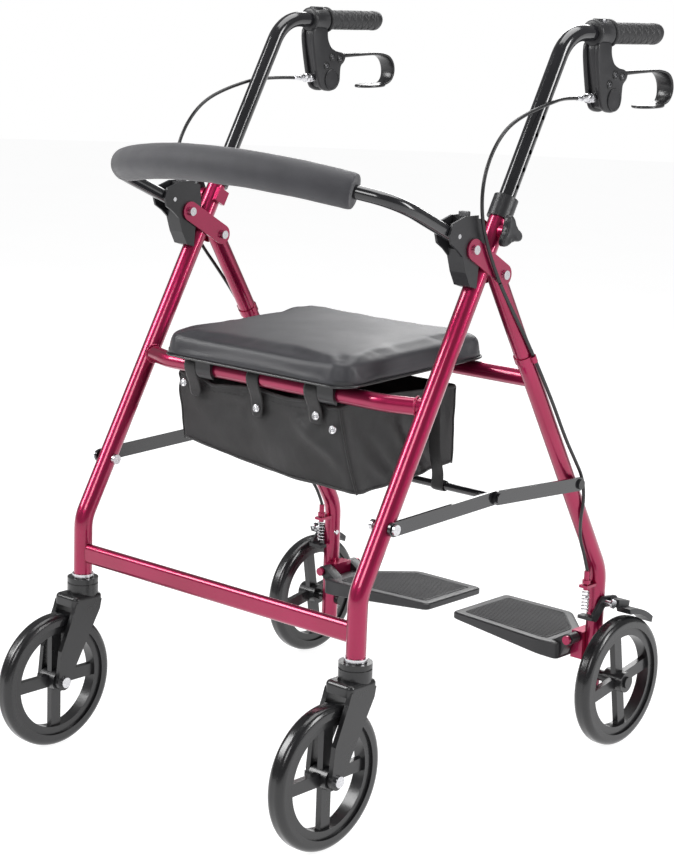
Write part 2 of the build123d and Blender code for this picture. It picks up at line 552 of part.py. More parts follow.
both("footrest", ps[0])

# ---- brake cables, held all the way ----
upper = [(255, 188.8, 926), (256.5, 163, 926.6), (261, 136, 926), (269.4, 109, 924.0), (270.8, 78, 917.5), (271.2, 45, 909), (271.6, 14, 897.5), (272.4, -9.5, 881.5),
         (273.4, -28.8, 859), (274.4, -41.5, 833), (274.9, -45.3, 804), (274.9, -40.8, 775), (274.9, -29.6, 747.5), (274.8, -14.7, 720.3), (274.3, 1.6, 696.2)]
lower = [(274.3, 2.8, 694.6), (273.6, 16, 678), (272.2, 35.6, 656), (271.0, 70.3, 616), (270.7, 107.3, 567), (270.7, 143.1, 517), (270.7, 175.9, 466),
         (270.6, 203, 431), (270.2, 224.5, 403), (271.2, 230, 372), (268.8, 227.5, 342), (261, 241, 309), (255.6, 262, 283), (255, 273, 256.3)]


def lengths(pts):
    return [(Vector(*b) - Vector(*a)).length for a, b in zip(pts, pts[1:])]


def cable(pts):
    radii = auto_radii(pts)
    w = rounded(pts, radii)
    c = pipe(w, CABLE_R)
    print("cable: length %.0f, radii %s, volume ratio %.4f" % (w.length, [round(r) for r in radii], c.volume / (math.pi * CABLE_R**2 * w.length)))
    return c


both("brake_cable_upper", cable(upper))

low = cable(lower)
write("brake_cables_lower", [low, other(low)])
clips = []
CLIP_Z = 586
pt = Vector(LEG_X, rear_y(CLIP_Z), CLIP_Z)
d = Vector(0, sinR, -cosR)
clips.append(ring(pt - d * 5, pt + d * 5, REAR_LEG_R + 1.6, REAR_LEG_R + 0.03))
clip0 = clips[0] + rod(Vector(270.9, rear_y(CLIP_Z), CLIP_Z) - d * 5, Vector(270.9, rear_y(CLIP_Z), CLIP_Z) + d * 5, CABLE_R + 1.9)
k0, k1 = Vector(271.0, 70.3, 616), Vector(270.7, 107.3, 567)
clip0 -= rod(k0, k1, CABLE_R + 0.1)
clip0 -= rod((LEG_X, rear_y(650), 650), (LEG_X, rear_y(500), 500), REAR_LEG_R + 0.03)
cs = sorted(solids_of(clip0), key=lambda s: -s.volume)
print("clip solids", len(cs))
write("cable_guides", [stop, other(stop), cs[0], other(cs[0])])

# ---- folding braces ----
bx0 = LEG_X + LEG_R + 0.6
f = stadium(BRACE_FRONT, BRACE_MID, BRACE_W / 2, bx0, bx0 + BRACE_T)
f -= rod((bx0 - 5, *BRACE_FRONT), (bx0 + 9, *BRACE_FRONT), 4.06)
f -= rod((bx0 - 5, *BRACE_MID), (bx0 + 9, *BRACE_MID), 4.0)
write("brace_bars_front", [f, other(f)])
rx0 = bx0 + BRACE_T + 0.4
r = stadium(BRACE_MID, BRACE_REAR, BRACE_W / 2, rx0, rx0 + BRACE_T)
r -= rod((rx0 - 5, *BRACE_MID), (rx0 + 9, *BRACE_MID), 4.06)
r -= rod((rx0 - 5, *BRACE_REAR), (rx0 + 9, *BRACE_REAR), 4.0)
write("brace_bars_rear", [r, other(r)])
cross = rod((-bx0, *BRACE_MID), (bx0, *BRACE_MID), 5.2)
for sx in (-1, 1):
    cross = cross + rod((sx * bx0, *BRACE_MID), (sx * (rx0 + BRACE_T + 0.7), *BRACE_MID), 4.0)
    cross = cross + rod((sx * (rx0 + BRACE_T + 0.5), *BRACE_MID), (sx * (rx0 + BRACE_T + 3.5), *BRACE_MID), 6.5)
write("brace_crossbar", cross)
rv = rod((LEG_X + REAR_LEG_R + 0.8, *BRACE_REAR), (rx0 + BRACE_T + 0.5, *BRACE_REAR), 4.0)
rv = rv + rod((rx0 + BRACE_T, *BRACE_REAR), (rx0 + BRACE_T + 3.2, *BRACE_REAR), 7.0)
rv = rv + ring((LEG_X + REAR_LEG_R + 0.8, *BRACE_REAR), (rx0, *BRACE_REAR), 7.0, 4.0)
write("brace_rear_rivets", [rv, other(rv)])

# webbing pull strap, looped round the brace crossbar and run up behind the bag
SX0, SX1 = 166.0, 188.0
my, mz = BRACE_MID
strap = ring((SX0, my, mz), (SX1, my, mz), 7.0, 5.22)
strap = strap + slab([(my + 1, mz + 5.6), (my + 1, mz + 7.0), (78, 423.5), (85, 429), (92, 546), (93.6, 546), (86.6, 428), (79, 422)], SX0, SX1)
write("pull_strap", strap)

# ---- wheels ----


def wheel(x, y, z, hub_half, bore, phase):
    tyre = rod((x - TYRE_W / 2, y, z), (x + TYRE_W / 2, y, z), WHEEL_R)
    tyre = fillet([e for e in tyre.edges() if e.geom_type == GeomType.CIRCLE], 9.0)
    tyre -= rod((x - 40, y, z), (x + 40, y, z), 79.0)
    rim = ring((x - 9, y, z), (x + 9, y, z), 79.0, 68.0)
    rim = rim + rod((x - hub_half, y, z), (x + hub_half, y, z), 15.0)
    for i in range(4):
        a = math.radians(phase + 90 * i)
        d = (0, math.cos(a), math.sin(a))
        p = Plane(origin=(x, y, z), x_dir=(1, 0, 0), z_dir=d)
        rim = rim + p * (Pos(0, 0, 41) * Box(9, 17, 58))
    rim -= rod((x - 40, y, z), (x + 40, y, z), bore)
    return tyre, solids_of(rim)[0]


tyre, rim = wheel(REAR_WHEEL_X, *REAR_AXLE, 16.5, 5.06, 10)
both("rear_tyre", tyre)
both("rear_rim", rim)

# ---- casters, trailing forwards as stored ----
CY = FRONT_Y - CASTER_TRAIL
tyre, rim = wheel(LEG_X, CY, WHEEL_R, 14.5, 4.06, 0)
both("front_tyre", tyre)
both("front_rim", rim)
CROWN = 197.5
fork = rod((LEG_X, FRONT_Y, CROWN + 2), (LEG_X, FRONT_Y, 234.3), 21.8)
groove = ring((LEG_X, FRONT_Y, 226), (LEG_X, FRONT_Y, 228), 30, 20.6)
fork -= groove
crown = block(LEG_X - 22.5, LEG_X + 22.5, FRONT_Y - 34, FRONT_Y + 19, CROWN, 213)
crown = fillet(crown.edges().filter_by(Axis.Z), 8)
crown = fillet(crown.edges().group_by(Axis.Z)[-1], 6)
fork = fork + crown
leg_yz = [(FRONT_Y - 31, 204), (FRONT_Y + 16, 204), (FRONT_Y + 13, 190), (CY + 11.6, 98), (CY - 11.4, 92), (CY - 6, 140), (FRONT_Y - 36, 190)]
for x0, x1 in ((LEG_X - 22.5, LEG_X - 15.5), (LEG_X + 15.5, LEG_X + 22.5)):
    a = slab(leg_yz, x0, x1) + rod((x0, CY, WHEEL_R), (x1, CY, WHEEL_R), 12.0)
    fork = fork + a
fork -= rod((LEG_X, FRONT_Y, 190), (LEG_X, FRONT_Y, 240), 6.0)
fork -= rod((LEG_X - 30, CY, WHEEL_R), (LEG_X + 30, CY, WHEEL_R), 4.0)
fs = solids_of(fork)
print("fork solids", len(fs))
both("caster_fork", fork)
stem = rod((LEG_X, FRONT_Y, CROWN + 1), (LEG_X, FRONT_Y, RING_Z + 30), 6.0)
cax = rod((LEG_X - 26, CY, WHEEL_R), (LEG_X + 26, CY, WHEEL_R), 4.0)
cax = cax + rod((LEG_X + 22.5, CY, WHEEL_R), (LEG_X + 27, CY, WHEEL_R), 7.5) + rod((LEG_X - 27, CY, WHEEL_R), (LEG_X - 22.5, CY, WHEEL_R), 7.5)
both("caster_hardware", [stem, cax])

print("nodes", count)
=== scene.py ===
import json
import math

import bmesh
import bpy
import numpy as np
from mathutils import Matrix, Vector, noise

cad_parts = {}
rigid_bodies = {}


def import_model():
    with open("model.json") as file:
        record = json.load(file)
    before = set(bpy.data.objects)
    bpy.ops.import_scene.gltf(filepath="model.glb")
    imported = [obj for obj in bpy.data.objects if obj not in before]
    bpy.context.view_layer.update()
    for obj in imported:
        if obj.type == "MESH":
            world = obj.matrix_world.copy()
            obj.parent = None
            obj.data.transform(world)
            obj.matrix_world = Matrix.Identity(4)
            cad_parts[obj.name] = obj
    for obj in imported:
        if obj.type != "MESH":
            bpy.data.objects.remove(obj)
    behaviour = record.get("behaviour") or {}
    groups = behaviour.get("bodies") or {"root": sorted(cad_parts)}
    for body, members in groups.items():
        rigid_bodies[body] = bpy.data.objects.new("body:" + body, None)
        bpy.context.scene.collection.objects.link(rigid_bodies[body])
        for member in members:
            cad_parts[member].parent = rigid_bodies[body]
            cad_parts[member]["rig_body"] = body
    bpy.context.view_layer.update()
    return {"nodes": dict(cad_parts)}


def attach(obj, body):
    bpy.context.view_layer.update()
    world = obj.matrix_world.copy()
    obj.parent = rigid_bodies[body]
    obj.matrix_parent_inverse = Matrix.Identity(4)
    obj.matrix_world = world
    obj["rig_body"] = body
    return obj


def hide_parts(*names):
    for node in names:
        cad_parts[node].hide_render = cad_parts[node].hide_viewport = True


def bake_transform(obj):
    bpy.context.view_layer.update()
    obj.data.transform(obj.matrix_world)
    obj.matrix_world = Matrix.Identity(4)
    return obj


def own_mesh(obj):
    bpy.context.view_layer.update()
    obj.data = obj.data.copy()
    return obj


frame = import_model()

nodes = frame["nodes"]
YS = -11.7  # the CAD's own shift along Y, in millimetres


def V(x, y, z):
    """A point of the CAD drawing, in millimetres, as metres in the frame."""
    return Vector((x / 1000, (y + YS) / 1000, z / 1000))


# ------------------------------------------------------------------ camera
def look():
    # camera fitted to the reference view: place, heading, tilt, roll and focal length
    a, e, roll = math.radians(41.0), math.radians(11.96), math.radians(2.05)
    back = Vector((math.sin(a) * math.cos(e), -math.cos(a) * math.cos(e), math.sin(e)))
    right = (-back).cross(Vector((0, 0, 1))).normalized()
    up = right.cross(-back)
    c, s = math.cos(roll), math.sin(roll)
    x, y = right * c + up * s, up * c - right * s
    cam = bpy.data.objects.new("camera", bpy.data.cameras.new("camera"))
    bpy.context.scene.collection.objects.link(cam)
    m = Matrix.Identity(4)
    for i, v in enumerate((x, y, back)):
        m[0][i], m[1][i], m[2][i] = v
    m.translation = Vector((1.846002, -2.125697, 1.053864))
    cam.matrix_world = m
    cam.data.sensor_width = 36
    cam.data.lens = 2059.09 * 36 / 856
    cam.data.clip_end = 60
    bpy.context.scene.camera = cam


look()


# ------------------------------------------------------------------ materials
def nodes_of(name):
    m = bpy.data.materials.new(name)
    m.use_nodes = True
    nt = m.node_tree
    b = nt.nodes["Principled BSDF"]
    return m, nt, b


def tex(nt, kind, scale, detail=2.0, rough=0.5, **kw):
    n = nt.nodes.new(kind)
    n.inputs["Scale"].default_value = scale
    if "Detail" in n.inputs:
        n.inputs["Detail"].default_value = detail
    if "Roughness" in n.inputs:
        n.inputs["Roughness"].default_value = rough
    return n


def coords(nt):
    return nt.nodes.new("ShaderNodeTexCoord").outputs["Object"]


def ramp(nt, src, stops):
    r = nt.nodes.new("ShaderNodeValToRGB")
    el = r.color_ramp.elements
    while len(el) > 1:
        el.remove(el[-1])
    el[0].position, el[0].color = stops[0][0], (*stops[0][1], 1)
    for p, c in stops[1:]:
        e = el.new(p)
        e.color = (*c, 1)
    nt.links.new(src, r.inputs[0])
    return r.outputs[0]


def value_range(nt, src, lo, hi, a, b):
    r = nt.nodes.new("ShaderNodeMapRange")
    r.inputs["From Min"].default_value = lo
    r.inputs["From Max"].default_value = hi
    r.inputs["To Min"].default_value = a
    r.inputs["To Max"].default_value = b
    nt.links.new(src, r.inputs["Value"])
    return r.outputs[0]


def bump(nt, b, height, strength, distance, under=None):
    n = nt.nodes.new("ShaderNodeBump")
    n.inputs["Strength"].default_value = strength
    n.inputs["Distance"].default_value = distance
    nt.links.new(height, n.inputs["Height"])
    if under is not None:
        nt.links.new(under, n.inputs["Normal"])
    nt.links.new(n.outputs[0], b.inputs["Normal"])
    return n.outputs[0]


def plastic(name, colour, rough, grain=900.0, depth=0.00012, spread=0.06, coat=0.0, vary=0.25):
    m, nt, b = nodes_of(name)
    co = coords(nt)
    big = tex(nt, "ShaderNodeTexNoise", 14, 4, 0.6)
    nt.links.new(co, big.inputs["Vector"])
    fine = tex(nt, "ShaderNodeTexNoise", grain, 3, 0.6)
    nt.links.new(co, fine.inputs["Vector"])
    d = tuple(c * (1 - vary) for c in colour)
    l = tuple(min(1, c * (1 + vary)) for c in colour)
    nt.links.new(ramp(nt, big.outputs["Fac"], [(0.3, d), (0.7, l)]), b.inputs["Base Color"])
    nt.links.new(value_range(nt, big.outputs["Fac"], 0.3, 0.7, rough - spread, rough + spread), b.inputs["Roughness"])
    b.inputs["Coat Weight"].default_value = coat
    b.inputs["Coat Roughness"].default_value = 0.12
    bump(nt, b, fine.outputs["Fac"], 0.35, depth)
    return m


def candy():
    """Metallic magenta powder paint under clear lacquer, with fine flake."""
    m, nt, b = nodes_of("candy_paint")
    co = coords(nt)
    flake = tex(nt, "ShaderNodeTexVoronoi", 1500)
    nt.links.new(co, flake.inputs["Vector"])
    drift = tex(nt, "ShaderNodeTexNoise", 9, 3, 0.5)
    nt.links.new(co, drift.inputs["Vector"])
    mix = nt.nodes.new("ShaderNodeMix")
    mix.data_type = "RGBA"
    mix.blend_type = "MIX"
    mix.inputs["Factor"].default_value = 0.18
    nt.links.new(ramp(nt, drift.outputs["Fac"], [(0.25, (0.30, 0.004, 0.050)), (0.75, (0.40, 0.008, 0.080))]), mix.inputs[6])
    nt.links.new(ramp(nt, flake.outputs["Distance"], [(0.0, (0.70, 0.09, 0.26)), (0.6, (0.20, 0.0, 0.03))]), mix.inputs[7])
    nt.links.new(mix.outputs[2], b.inputs["Base Color"])
    b.inputs["Metallic"].default_value = 0.82
    nt.links.new(value_range(nt, flake.outputs["Distance"], 0.0, 0.6, 0.22, 0.36), b.inputs["Roughness"])
    b.inputs["Coat Weight"].default_value = 0.8
    b.inputs["Coat Roughness"].default_value = 0.05
    fine = tex(nt, "ShaderNodeTexNoise", 260, 2, 0.5)
    nt.links.new(co, fine.inputs["Vector"])
    bump(nt, b, fine.outputs["Fac"], 0.12, 0.00015)
    return m


def steel():
    m, nt, b = nodes_of("zinc_steel")
    co = coords(nt)
    brush = tex(nt, "ShaderNodeTexNoise", 420, 3, 0.6)
    st = nt.nodes.new("ShaderNodeMapping")
    st.inputs["Scale"].default_value = (0.15, 1, 1)
    nt.links.new(co, st.inputs["Vector"])
    nt.links.new(st.outputs[0], brush.inputs["Vector"])
    nt.links.new(ramp(nt, brush.outputs["Fac"], [(0.3, (0.50, 0.50, 0.52)), (0.7, (0.74, 0.74, 0.76))]), b.inputs["Base Color"])
    b.inputs["Metallic"].default_value = 1.0
    nt.links.new(value_range(nt, brush.outputs["Fac"], 0.3, 0.7, 0.18, 0.34), b.inputs["Roughness"])
    bump(nt, b, brush.outputs["Fac"], 0.2, 0.00005)
    return m


def leather():
    """Black polyurethane skin with a fine leather grain."""
    m, nt, b = nodes_of("seat_skin")
    co = coords(nt)
    cell = tex(nt, "ShaderNodeTexVoronoi", 620)
    cell.feature = "DISTANCE_TO_EDGE"
    nt.links.new(co, cell.inputs["Vector"])
    big = tex(nt, "ShaderNodeTexNoise", 7, 4, 0.6)
    nt.links.new(co, big.inputs["Vector"])
    fine = tex(nt, "ShaderNodeTexNoise", 1400, 2, 0.5)
    nt.links.new(co, fine.inputs["Vector"])
    nt.links.new(ramp(nt, big.outputs["Fac"], [(0.3, (0.022, 0.022, 0.026)), (0.7, (0.036, 0.036, 0.041))]), b.inputs["Base Color"])
    nt.links.new(value_range(nt, big.outputs["Fac"], 0.3, 0.7, 0.40, 0.52), b.inputs["Roughness"])
    b.inputs["Specular IOR Level"].default_value = 0.45
    n = bump(nt, b, fine.outputs["Fac"], 0.25, 0.0001)
    bump(nt, b, cell.outputs["Distance"], 0.5, 0.00035, n)
    return m


def foam():
    """Dark grey closed-cell foam with fine pores."""
    m, nt, b = nodes_of("closed_cell_foam")
    co = coords(nt)
    pore = tex(nt, "ShaderNodeTexVoronoi", 900)
    nt.links.new(co, pore.inputs["Vector"])
    big = tex(nt, "ShaderNodeTexNoise", 22, 5, 0.65)
    nt.links.new(co, big.inputs["Vector"])
    nt.links.new(ramp(nt, big.outputs["Fac"], [(0.3, (0.021, 0.021, 0.026)), (0.7, (0.031, 0.031, 0.037))]), b.inputs["Base Color"])
    b.inputs["Roughness"].default_value = 0.62
    b.inputs["Sheen Weight"].default_value = 0.25
    b.inputs["Sheen Roughness"].default_value = 0.5
    n = bump(nt, b, big.outputs["Fac"], 0.2, 0.0008)
    bump(nt, b, pore.outputs["Distance"], 0.45, 0.0003, n)
    return m


def nylon(name="bag_nylon", base=0.012):
    """Black plain-weave nylon: two crossed sets of threads."""
    m, nt, b = nodes_of(name)
    co = coords(nt)
    sep = nt.nodes.new("ShaderNodeSeparateXYZ")
    nt.links.new(co, sep.inputs[0])

    def threads(out, pitch):
        k = nt.nodes.new("ShaderNodeMath")
        k.operation = "MULTIPLY"
        k.inputs[1].default_value = 2 * math.pi / pitch
        nt.links.new(out, k.inputs[0])
        s = nt.nodes.new("ShaderNodeMath")
        s.operation = "SINE"
        nt.links.new(k.outputs[0], s.inputs[0])
        return s.outputs[0]

    add = nt.nodes.new("ShaderNodeMath")
    add.operation = "ADD"
    nt.links.new(sep.outputs["X"], add.inputs[0])
    nt.links.new(sep.outputs["Y"], add.inputs[1])
    weave = nt.nodes.new("ShaderNodeMath")
    weave.operation = "MULTIPLY"
    nt.links.new(threads(add.outputs[0], 0.0013), weave.inputs[0])
    nt.links.new(threads(sep.outputs["Z"], 0.0013), weave.inputs[1])
    big = tex(nt, "ShaderNodeTexNoise", 18, 5, 0.6)
    nt.links.new(co, big.inputs["Vector"])
    nt.links.new(ramp(nt, big.outputs["Fac"], [(0.3, (base * 0.7,) * 3), (0.75, (base * 1.5, base * 1.5, base * 1.6))]), b.inputs["Base Color"])
    nt.links.new(value_range(nt, weave.outputs[0], -1, 1, 0.46, 0.60), b.inputs["Roughness"])
    b.inputs["Sheen Weight"].default_value = 0.15
    b.inputs["Sheen Roughness"].default_value = 0.4
    b.inputs["Specular IOR Level"].default_value = 0.5
    n = bump(nt, b, big.outputs["Fac"], 0.45, 0.004)
    bump(nt, b, weave.outputs[0], 0.35, 0.0002, n)
    return m


def rubber_grip():
    """Black rubber with a fine grain; the diagonal ribs are modelled in the grip mesh."""
    m, nt, b = nodes_of("grip_rubber")
    co = coords(nt)
    big = tex(nt, "ShaderNodeTexNoise", 30, 4, 0.6)
    nt.links.new(co, big.inputs["Vector"])
    fine = tex(nt, "ShaderNodeTexNoise", 1200, 2, 0.6)
    nt.links.new(co, fine.inputs["Vector"])
    nt.links.new(ramp(nt, big.outputs["Fac"], [(0.3, (0.012, 0.012, 0.013)), (0.7, (0.024, 0.024, 0.026))]), b.inputs["Base Color"])
    nt.links.new(value_range(nt, big.outputs["Fac"], 0.3, 0.7, 0.42, 0.58), b.inputs["Roughness"])
    bump(nt, b, fine.outputs["Fac"], 0.4, 0.00015)
    return m


M = {
    "red": candy(),
    "tube": plastic("gloss_black_paint", (0.010, 0.010, 0.012), 0.16, 300, 0.00005, 0.04, 0.6),
    "steel": steel(),
    "plastic": plastic("black_plastic", (0.016, 0.016, 0.018), 0.38, 900, 0.00012),
    "dark": plastic("dark_screw", (0.06, 0.06, 0.065), 0.28, 600, 0.00005, 0.05, 0.3),
    "satin": plastic("black_satin_nylon", (0.012, 0.012, 0.013), 0.30, 700, 0.0001, 0.05, 0.15),
    "tab": plastic("grey_plastic", (0.10, 0.10, 0.105), 0.45),
    "tyre": plastic("tyre_urethane", (0.008, 0.008, 0.009), 0.24, 500, 0.00008, 0.05, 0.25),
    "rim": plastic("rim_plastic", (0.012, 0.012, 0.013), 0.30, 700, 0.00009, 0.05, 0.2),
    "cable": plastic("cable_jacket", (0.010, 0.010, 0.011), 0.32, 1200, 0.00004),
    "mat": plastic("footrest_mat", (0.022, 0.022, 0.024), 0.60, 1500, 0.0003),
    "seat": leather(),
    "foam": foam(),
    "bag": nylon(),
    "strap": nylon("strap_webbing", 0.010),
    "grip": rubber_grip(),
}


# ------------------------------------------------------------------ mesh helpers
def obj_of(name, verts, faces, mat, smooth=True, sharp=None):
    me = bpy.data.meshes.new(name)
    me.from_pydata([tuple(v) for v in verts], [], faces)
    me.update()
    bm = bmesh.new()
    bm.from_mesh(me)
    bmesh.ops.remove_doubles(bm, verts=bm.verts, dist=1e-7)
    bmesh.ops.recalc_face_normals(bm, faces=bm.faces)
    bm.to_mesh(me)
    bm.free()
    o = bpy.data.objects.new(name, me)
    bpy.context.scene.collection.objects.link(o)
    me.materials.append(M[mat] if isinstance(mat, str) else mat)
    if smooth:
        for p in me.polygons:
            p.use_smooth = True
        me.set_sharp_from_angle(angle=math.radians(sharp or 40))
    return o


def join(name, objs, mat=None):
    """One object from several, each part keeping its material."""
    me = bpy.data.meshes.new(name)
    bm = bmesh.new()
    mats = []
    for o in objs:
        tmp = o.data.copy()
        tmp.transform(o.matrix_world)
        index = []
        for m in o.data.materials:
            if m not in mats:
                mats.append(m)
            index.append(mats.index(m))
        start = len(bm.faces)
        bm.from_mesh(tmp)
        bm.faces.ensure_lookup_table()
        for f in bm.faces[start:]:
            f.material_index = index[f.material_index] if index else 0
        bpy.data.meshes.remove(tmp)
    bm.to_mesh(me)
    bm.free()
    for m in mats:
        me.materials.append(m)
    for o in objs:
        bpy.data.objects.remove(o)
    out = bpy.data.objects.new(name, me)
    bpy.context.scene.collection.objects.link(out)
    return out


def apply(o):
    """Makes an object's modifiers real."""
    dg = bpy.context.evaluated_depsgraph_get()
    me = bpy.data.meshes.new_from_object(o.evaluated_get(dg))
    o.modifiers.clear()
    o.data = me
    return o


def modify(o, kind, **kw):
    m = o.modifiers.new(kind.lower(), kind)
    for k, v in kw.items():
        setattr(m, k, v)
    return m


def bevelled(o, width, segs=2, angle=35, sharp=40):
    modify(o, "BEVEL", width=width, segments=segs, limit_method="ANGLE", angle_limit=math.radians(angle), harden_normals=False)
    apply(o)
    for p in o.data.polygons:
        p.use_smooth = True
    o.data.set_sharp_from_angle(angle=math.radians(sharp))
    return o


def lathe(name, profile, centre, axis, mat, segs=96, sharp=35, closed=False):
    """Turns (along, radius) pairs, in millimetres, about an axis."""
    axis = Vector(axis).normalized()
    ref = Vector((0, 0, 1)) if abs(axis.z) < 0.9 else Vector((1, 0, 0))
    u = axis.cross(ref).normalized()
    w = axis.cross(u)
    verts, faces = [], []
    n = len(profile)
    for i in range(segs):
        t = 2 * math.pi * i / segs
        r = u * math.cos(t) + w * math.sin(t)
        for a, rad in profile:
            verts.append(centre + axis * (a / 1000) + r * (max(rad, 0.0001) / 1000))
    for i in range(segs):
        j = (i + 1) % segs
        for k in range(n - 1 if not closed else n):
            l = (k + 1) % n
            faces.append((i * n + k, i * n + l, j * n + l, j * n + k))
    if not closed:
        verts.append(centre + axis * (profile[0][0] / 1000))
        verts.append(centre + axis * (profile[-1][0] / 1000))
        a, b = len(verts) - 2, len(verts) - 1
        for i in range(segs):
            j = (i + 1) % segs
            faces.append((a, i * n, j * n))
            faces.append((b, j * n + n - 1, i * n + n - 1))
    return obj_of(name, verts, faces, mat, True, sharp)


def arc_pts(cx, cy, r, a0, a1, n):
    return [(cx + r * math.cos(math.radians(a0 + (a1 - a0) * i / n)), cy + r * math.sin(math.radians(a0 + (a1 - a0) * i / n))) for i in range(n + 1)]


def tube_along(name, pts, radius, mat, sides=16, caps=True, oval=None, up=None):
    """A tube mesh along points; radius in metres, a number or one for each point."""
    pts = [Vector(p) for p in pts]
    n = len(pts)
    tang = []
    for i in range(n):
        a, b = pts[max(0, i - 1)], pts[min(n - 1, i + 1)]
        tang.append((b - a).normalized())
    nrm = Vector(up) if up else (Vector((1, 0, 0)) if abs(tang[0].x) < 0.9 else Vector((0, 1, 0)))
    nrm = (nrm - tang[0] * nrm.dot(tang[0])).normalized()
    verts, faces = [], []
    for i in range(n):
        nrm = (nrm - tang[i] * nrm.dot(tang[i])).normalized()
        bi = tang[i].cross(nrm)
        r = radius[i] if isinstance(radius, (list, tuple)) else radius
        ru, rv = (r * oval[0], r * oval[1]) if oval else (r, r)
        for k in range(sides):
            t = 2 * math.pi * k / sides
            verts.append(pts[i] + nrm * (ru * math.cos(t)) + bi * (rv * math.sin(t)))
    for i in range(n - 1):
        for k in range(sides):
            l = (k + 1) % sides
            faces.append((i * sides + k, i * sides + l, (i + 1) * sides + l, (i + 1) * sides + k))
    if caps:
        faces.append(tuple(range(sides)))
        faces.append(tuple((n - 1) * sides + k for k in range(sides)))
    return obj_of(name, verts, faces, mat, True, 50)


def smooth_line(points, resolution=16):
    """Points read from the NURBS spline that has these control points."""
    cu = bpy.data.curves.new("route", "CURVE")
    cu.dimensions = "3D"
    sp = cu.splines.new("NURBS")
    sp.points.add(len(points) - 1)
    for p, q in zip(sp.points, points):
        p.co = (*q, 1)
    sp.order_u = 3
    sp.use_endpoint_u = True
    sp.resolution_u = resolution
    o = bpy.data.objects.new("route", cu)
    bpy.context.scene.collection.objects.link(o)
    bpy.context.view_layer.update()
    me = bpy.data.meshes.new_from_object(o)
    out = [v.co.copy() for v in me.vertices]
    bpy.data.objects.remove(o)
    bpy.data.curves.remove(cu)
    bpy.data.meshes.remove(me)
    return out


def mirrored(o, name):
    me = o.data.copy()
    me.transform(Matrix.Scale(-1, 4, Vector((1, 0, 0))))
    me.flip_normals()
    c = bpy.data.objects.new(name, me)
    bpy.context.scene.collection.objects.link(c)
    return c


def extrude_yz(name, pts, x0, x1, mat):
    """A solid from an outline in Y and Z (drawing millimetres)."""
    n = len(pts)
    verts = [V(x0, y, z) for y, z in pts] + [V(x1, y, z) for y, z in pts]
    faces = [tuple(range(n)), tuple(range(2 * n - 1, n - 1, -1))]
    faces += [(i, (i + 1) % n, n + (i + 1) % n, n + i) for i in range(n)]
    return obj_of(name, verts, faces, mat, True, 35)


def rounded_box(name, lo, hi, r, mat, segs=3):
    """A box with rounded edges; corners in drawing millimetres."""
    a, b = V(*lo), V(*hi)
    verts = [(x, y, z) for x in (a.x, b.x) for y in (a.y, b.y) for z in (a.z, b.z)]
    faces = [(0, 1, 3, 2), (4, 6, 7, 5), (0, 4, 5, 1), (2, 3, 7, 6), (0, 2, 6, 4), (1, 5, 7, 3)]
    o = obj_of(name, verts, faces, mat)
    return bevelled(o, r / 1000, segs)


def refined(node, mat, width=0.0006, segs=2, body=None, extra=()):
    """The CAD node's own shape with its hard edges rounded, standing for the node."""
    src = nodes[node]
    me = src.data.copy()
    bm = bmesh.new()
    bm.from_mesh(me)
    bmesh.ops.remove_doubles(bm, verts=bm.verts, dist=2e-6)
    bmesh.ops.dissolve_limit(bm, angle_limit=math.radians(1.0), verts=bm.verts, edges=bm.edges)
    bm.to_mesh(me)
    bm.free()
    me.materials.clear()
    me.materials.append(M[mat])
    o = bpy.data.objects.new("vis_" + node, me)
    bpy.context.scene.collection.objects.link(o)
    for p in o.data.polygons:
        p.material_index = 0
    bevelled(o, width, segs, 38, 32)
    if extra:
        o = join("vis_" + node, [o, *extra])
    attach(o, body or src["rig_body"])
    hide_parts(node)
    return o


# ------------------------------------------------------------------ CAD nodes that keep their shape
LR = ("_left", "_right")
finish_of = {
    "lower_crossbar": "red", "seat_front_tube": "red", "seat_rear_tube": "red", "pivot_plates": "red",
    "clamp_bosses": "red", "cable_guides": "red", "frame_bolts": "steel", "rear_axles": "steel",
    "brake_pins": "steel", "brake_springs": "steel", "brace_rear_rivets": "satin", "leg_collars": "plastic",
    "caster_bushes": "steel", "seat_board": "plastic", "seat_clips": "plastic", "backrest_bar": "tube",
    "brace_bars_front": "tube", "brace_bars_rear": "tube", "brace_crossbar": "tube", "pull_strap": "strap",
    "backrest_brackets": "plastic", "footrest_brackets": "red", "storage_bag": "bag", "seat_pad": "seat",
    "backrest_foam": "foam", "brake_cables_lower": "cable",
}
for s in LR:
    for n, f in (("front_leg", "red"), ("rear_leg", "red"), ("handle_tube", "tube"), ("caster_hardware", "steel"),
                 ("brake_housing", "plastic"), ("brake_lever", "satin"), ("height_knob", "plastic"), ("brake_arm", "plastic"),
                 ("caster_fork", "satin"), ("footrest", "plastic"), ("backrest_lock_tab", "tab"), ("rear_tyre", "tyre"),
                 ("front_tyre", "tyre"), ("rear_rim", "rim"), ("front_rim", "rim"), ("grip", "grip"), ("brake_cable_upper", "cable")):
        finish_of[n + s] = f
for n, f in finish_of.items():
    o = nodes[n]
    o.data.materials.clear()
    o.data.materials.append(M[f])
    for p in o.data.polygons:
        p.material_index = 0
        p.use_smooth = True
    o.data.set_sharp_from_angle(angle=math.radians(32))


def split_finish(node, rule):
    """Gives a CAD node a second and third finish, chosen face by face."""
    me = nodes[node].data
    names = []
    for p in me.polygons:
        f = rule(p.center)
        if f not in names:
            names.append(f)
        p.material_index = names.index(f)
    me.materials.clear()
    for f in names:
        me.materials.append(M[f])


